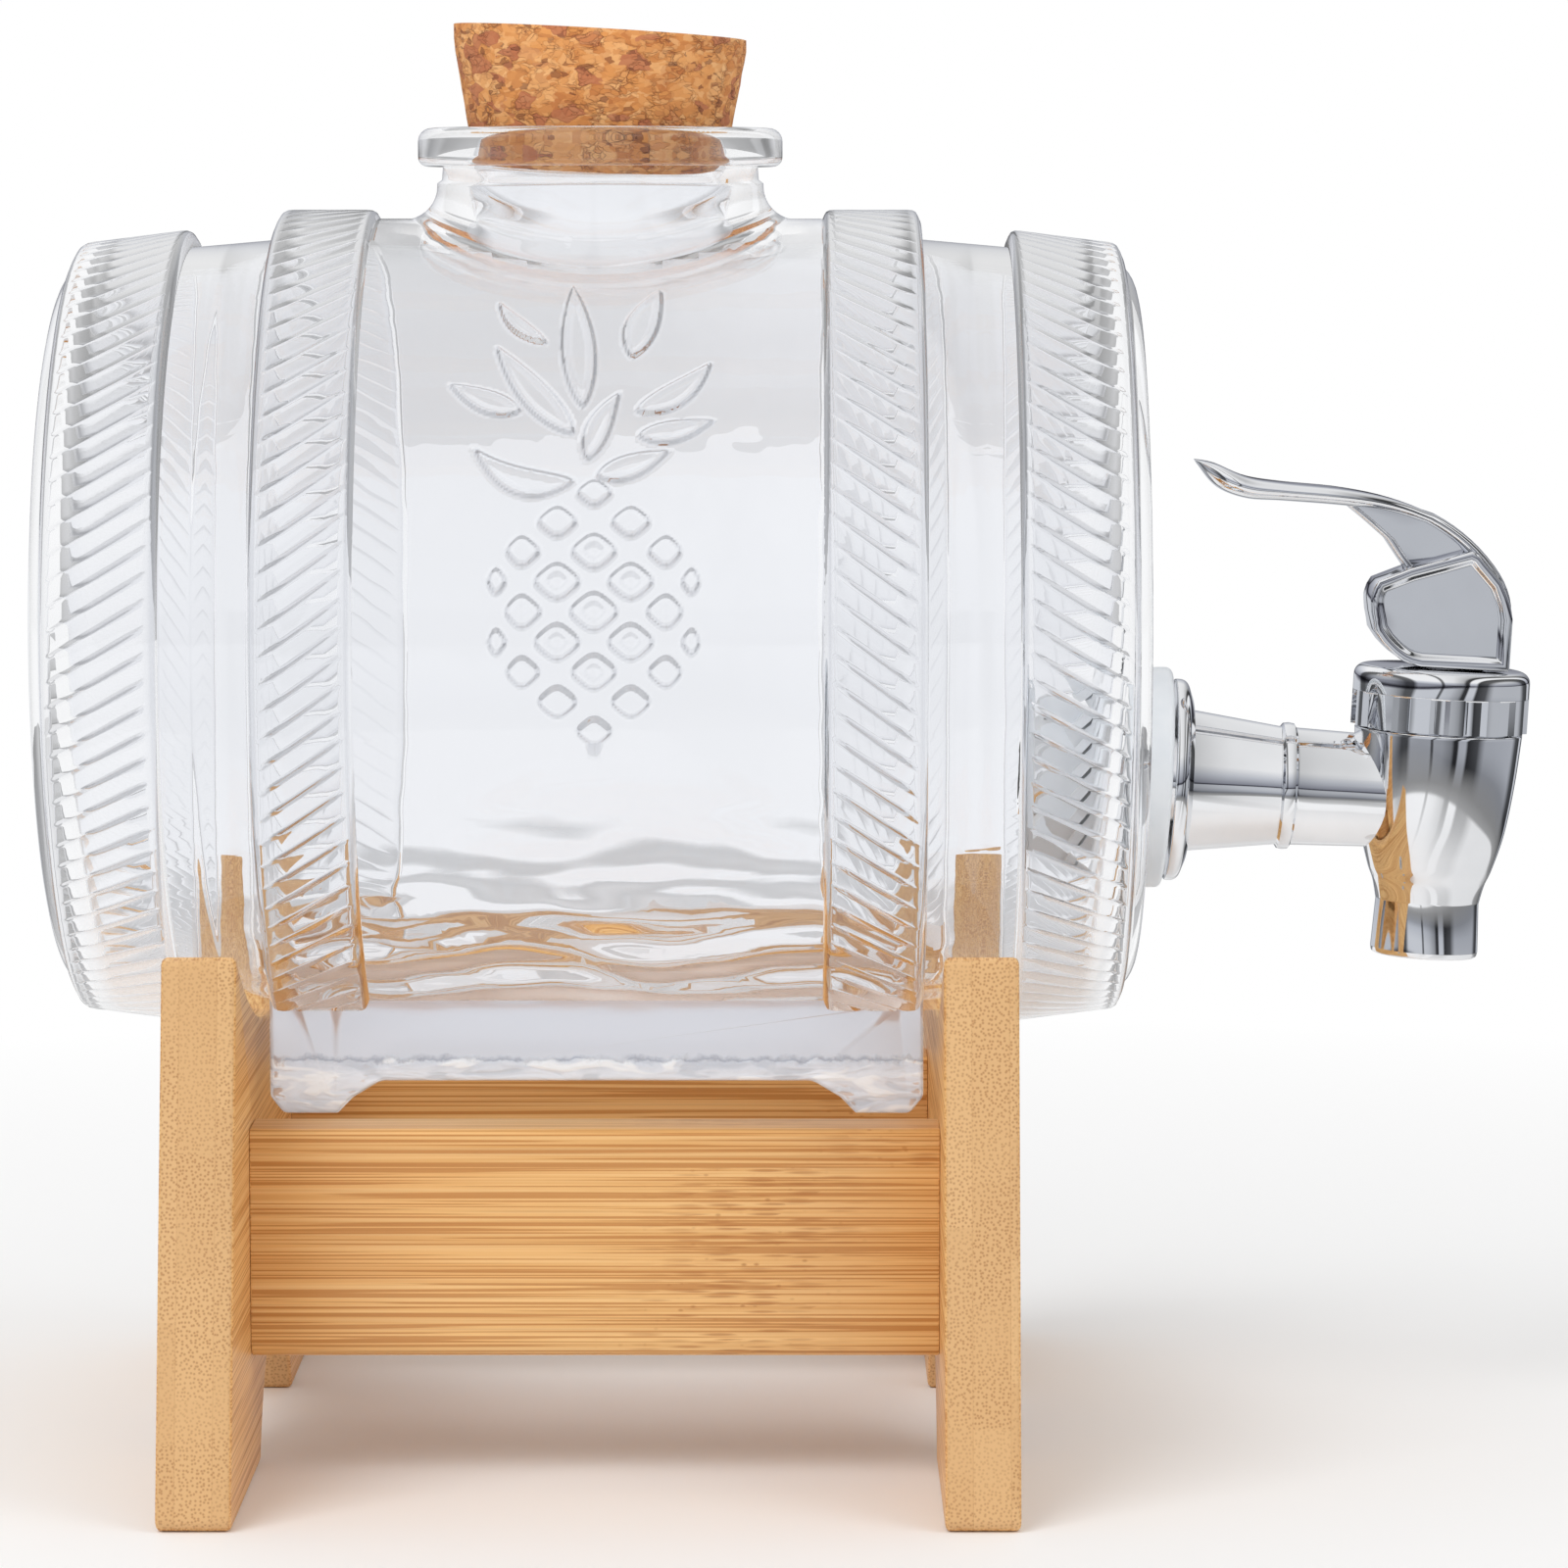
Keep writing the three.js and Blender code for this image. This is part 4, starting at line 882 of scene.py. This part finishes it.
# Valve stem, plug, spring and pin: the stainless stem lifts the silicone plug off its seat
# against the coil spring, and the pin joins it to the lever.

for node in ("valve_stem", "valve_spring", "lever_pin"):
    paint(node, steel_finish)
paint("valve_plug", silicone)

# Lever: chromed casting with a spoon-shaped thumb paddle, a thin web below it, and a hub with a
# sunk panel on each side. Its heel rolls on the bonnet and lifts the stem by the pin.

pin_z, reach, rise, pin_height = 28.0, 44.3, 26.8, 6.1


def side_points(shares):
    return [(-reach * a, rise * b if b > 0 else pin_height * b) for a, b in shares]


def paddle():
    top = side_points([(1, 1), (0.92, 0.98), (0.8, 0.91), (0.66, 0.885), (0.44, 0.87), (0.25, 0.825),
                       (0.08, 0.735), (-0.065, 0.59), (-0.18, 0.395), (-0.234, 0.215), (-0.238, 0.05)])
    under = side_points([(0.985, 0.965), (0.91, 0.835), (0.8, 0.775), (0.66, 0.772), (0.44, 0.764), (0.27, 0.745),
                         (0.12, 0.68), (-0.02, 0.545), (-0.125, 0.37), (-0.182, 0.2), (-0.19, 0.05)])
    bm = bmesh.new()
    bmesh.ops.create_cone(bm, cap_ends=True, segments=32, radius1=1, radius2=1, depth=1)
    half_width, waist = 8, 2.5
    lengths = [e for e in bm.edges if abs(e.verts[0].co.z - e.verts[1].co.z) > 0.5]
    bmesh.ops.subdivide_edges(bm, edges=lengths, cuts=47, use_grid_fill=True)
    for vert in bm.verts:
        share = (vert.co.z + 0.5) ** 1.35
        angle = math.atan2(vert.co.y, vert.co.x)
        high, low = along(top, share), along(under, share)
        middle, half = (high + low) / 2, (high - low) / 2
        tip = reach + middle.x
        width = half_width - waist * smooth(middle.x, -reach * 0.5, 2)
        if tip < half_width:
            width = min(width, math.sqrt(max(half_width ** 2 - (half_width - tip) ** 2, 0.4)))
        c, s = math.cos(angle), math.sin(angle)
        across = width * math.copysign(abs(c) ** 0.55, c)
        up = math.copysign(abs(s) ** 0.75, s)
        dish = 0.3 * (1 - (across / half_width) ** 2) if share < 0.6 else 0
        vert.co = ((middle.x + half.x * up) * MM, across * MM, (middle.y + half.y * up - dish) * MM)
    bmesh.ops.recalc_face_normals(bm, faces=bm.faces)
    return bm


def lever():
    web_half, rib_half, hub_half = 1.6, 3.2, 6.5
    web = soften(prism(side_points([
        (0.43, 0.8), (0.34, 0.67), (0.255, 0.56), (0.165, 0.385), (0.05, 0.38), (-0.1, 0.4),
        (-0.14, 0.42), (-0.05, 0.56), (0.05, 0.68), (0.17, 0.76), (0.27, 0.8)]), "Y", -web_half, web_half), 0.5)
    rib_line = side_points([(0.44, 0.79), (0.34, 0.67), (0.255, 0.56), (0.164, 0.36)])
    rib = soften(prism(rib_line + [(x + 1.5, z) for x, z in reversed(rib_line)], "Y", -rib_half, rib_half), 0.5)
    hub = prism(side_points([
        (-0.238, -1), (0.098, -1), (0.138, -0.95), (0.17, -0.86), (0.2, -0.72), (0.222, -0.59), (0.25, -0.4),
        (0.27, -0.21), (0.285, -0.06), (0.293, 0.05), (0.301, 0.1), (0.305, 0.15), (0.307, 0.19), (0.304, 0.215),
        (0.297, 0.255), (0.282, 0.3), (0.163, 0.388), (0.05, 0.449),
        (-0.068, 0.516), (-0.1, 0.49), (-0.12, 0.45), (-0.19, 0.33), (-0.225, 0.2), (-0.238, 0.1)]),
        "Y", -hub_half, hub_half)
    sides = [f for f in hub.faces if abs(f.normal.y) > 0.9]
    bmesh.ops.inset_individual(hub, faces=sides, thickness=1.5 * MM, depth=0, use_even_offset=True)
    bmesh.ops.inset_individual(hub, faces=sides, thickness=0.35 * MM, depth=-0.7 * MM, use_even_offset=True)
    soften(hub, 0.45, angle=50, segments=3)
    panels = sorted(hub.faces, key=lambda f: f.calc_area())[-2:]
    bmesh.ops.inset_individual(hub, faces=panels, thickness=0.12 * MM, depth=0, use_even_offset=True)
    slot = bmesh.new()
    bmesh.ops.create_cube(slot, size=1, matrix=Matrix.Diagonal((14.1 * MM, 5.2 * MM, 11.5 * MM, 1)))
    moved(slot, z=-1.35)
    bm = combined(combined(hub, [web, rib, paddle()], "UNION"), [slot], "DIFFERENCE")
    moved(bm, x=valve_line, z=pin_z)
    bmesh.ops.transform(bm, matrix=tap_place, verts=bm.verts)
    return bm


finished(lever(), "lever_chrome", chrome, "lever", ["lever"], sharp=40)

# Studio: a pale floor that fades into a white surround, one wide soft lamp and a weaker one.
# Chrome mirrors light and dark cards, and the glass shows a surround of its own, darker at its sides.

def cards(tree, sideways):
    """Light and dark cards round the object, by how far to the side they stand, for what chrome mirrors."""
    return ramp(tree, maths(tree, "MULTIPLY_ADD", sideways, 0.5, 0.5), [
        (0.0, 0.85), (0.1, 0.15), (0.16, 0.15), (0.2, 1.0), (0.45, 1.0), (0.465, 0.2), (0.485, 0.2), (0.5, 0.95),
        (0.6, 0.85), (0.7, 0.5), (0.73, 0.06), (0.76, 0.06), (0.775, 1.0), (0.83, 1.0), (0.85, 0.06), (0.92, 0.15),
        (0.96, 0.8)])


def looked_at(tree, path):
    """1 for light that is seen, straight, mirrored or through glass, and 0 for light that only lights."""
    bent = maths(tree, "MAXIMUM", path.outputs["Is Glossy Ray"], path.outputs["Is Transmission Ray"])
    return maths(tree, "MAXIMUM", path.outputs["Is Camera Ray"], bent)


def floor_finish():
    material, tree, shader = new_material("pale floor", Base_Color=(0.94, 0.94, 0.94, 1), Roughness=0.7)
    place = own_place(tree)
    away = vector_maths(tree, "LENGTH", place)
    path = add(tree, "ShaderNodeLightPath")
    fade = times(tree, ramp(tree, away, [(0.12, 0.0), (0.5, 1.0)]), looked_at(tree, path))
    direct = times(tree, path.outputs["Is Glossy Ray"],
                   maths(tree, "LESS_THAN", path.outputs["Transmission Depth"], 0.5))
    edge = ramp(tree, maths(tree, "DIVIDE", 0.3, away), [
        (0.0, (0.06, 0.06, 0.08)), (0.04, (0.12, 0.12, 0.15)), (0.09, (0.62, 0.64, 0.68)), (0.3, (0.62, 0.64, 0.68)),
        (0.5, (0.5, 0.52, 0.57)), (0.76, (0.02, 0.02, 0.02)), (0.85, (0.02, 0.02, 0.02)), (0.88, (1.0, 1.0, 1.0))])
    sideways = maths(tree, "DIVIDE", split(tree, place)["X"], away)
    edge = mixed(tree, 1.0, edge, cards(tree, sideways), "MULTIPLY")
    # Painted shade: seen through the glass, the floor near the object glows a darker grey, standing in for its shadow
    # there.
    near = mixed(tree, path.outputs["Is Transmission Ray"], (1.0, 1.0, 1.0),
                 ramp(tree, away, [(0.2, 0.4), (0.42, 0.56), (0.6, 0.98)]))
    glow = add(tree, "ShaderNodeEmission", {"Color": mixed(tree, direct, near, edge), "Strength": 1.0})
    blend = add(tree, "ShaderNodeMixShader", {0: fade, 1: shader.outputs[0], 2: glow.outputs[0]})
    wire(tree, tree.nodes["Material Output"], Surface=blend.outputs[0])
    return material


def studio():
    bm = bmesh.new()
    bmesh.ops.create_circle(bm, cap_ends=True, segments=96, radius=12)
    floor = meshed(bm, "floor")
    floor.data.materials.append(floor_finish())

    world = bpy.data.worlds.new("studio")
    bpy.context.scene.world = world
    world.use_nodes = True
    tree = world.node_tree
    tree.nodes.clear()
    path = add(tree, "ShaderNodeLightPath")
    way = split(tree, add(tree, "ShaderNodeTexCoord").outputs["Generated"])
    lift = ramp(tree, way["Z"], [(0.0, 0.98), (0.2, 0.98), (0.36, 0.75), (0.7, 0.68), (1.0, 0.74)])
    aside = ramp(tree, maths(tree, "ABSOLUTE", way["X"]), [(0.24, 1.0), (0.4, 0.42), (0.6, 0.6), (0.9, 0.75)])
    through = mixed(tree, 1.0, lift, aside, "MULTIPLY")
    wall = ramp(tree, way["Z"], [(0.0, (0.04, 0.04, 0.05)), (0.03, (0.3, 0.31, 0.36)),
                                         (0.25, (0.62, 0.64, 0.69)), (0.5, (1.0, 1.0, 1.0))])
    mirrored = mixed(tree, 1.0, wall, cards(tree, way["X"]), "MULTIPLY")
    first = maths(tree, "SUBTRACT", 1.0, times(tree, path.outputs["Transmission Depth"], 0.8))
    direct = times(tree, path.outputs["Is Glossy Ray"], maths(tree, "MAXIMUM", first, 0.15))
    around = mixed(tree, direct, through, mirrored)
    seen = mixed(tree, path.outputs["Is Camera Ray"], around, (1.0, 1.0, 1.0))
    shown = add(tree, "ShaderNodeBackground", {"Color": seen, "Strength": 1.0})
    lit = add(tree, "ShaderNodeBackground", {"Color": (1, 1, 1, 1), "Strength": 0.72})
    blend = add(tree, "ShaderNodeMixShader", {0: looked_at(tree, path), 1: lit.outputs[0], 2: shown.outputs[0]})
    add(tree, "ShaderNodeOutputWorld", {"Surface": blend.outputs[0]})

    for name, place, size, power in (("key", (-0.7, -0.9, 1.3), 0.9, 10.5), ("fill", (1.0, -0.7, 0.9), 0.7, 3.2)):
        data = bpy.data.lights.new(name, "AREA")
        data.shape = "SQUARE"
        data.size = size
        data.energy = power
        lamp = placed(name, data)
        lamp.location = place
        lamp.visible_glossy = lamp.visible_transmission = False
        lamp.rotation_euler = (Vector((0, 0, 0.1)) - Vector(place)).to_track_quat("-Z", "Y").to_euler()


studio()

# Camera: a long lens a metre away, a little above the barrel's middle and looking slightly down,
# fitted to the photo.

view_data = bpy.data.cameras.new("camera")
view_data.lens = 131.0
view_data.sensor_width = 36
camera = placed("camera", view_data)
camera.location = (-0.0029, -0.9648, 0.2069)
aim = Vector((-0.0029, 0, 0.1105))
camera.rotation_euler = (aim - camera.location).to_track_quat("-Z", "Y").to_euler()
bpy.context.scene.camera = camera
bpy.context.scene.view_settings.view_transform = "Standard"
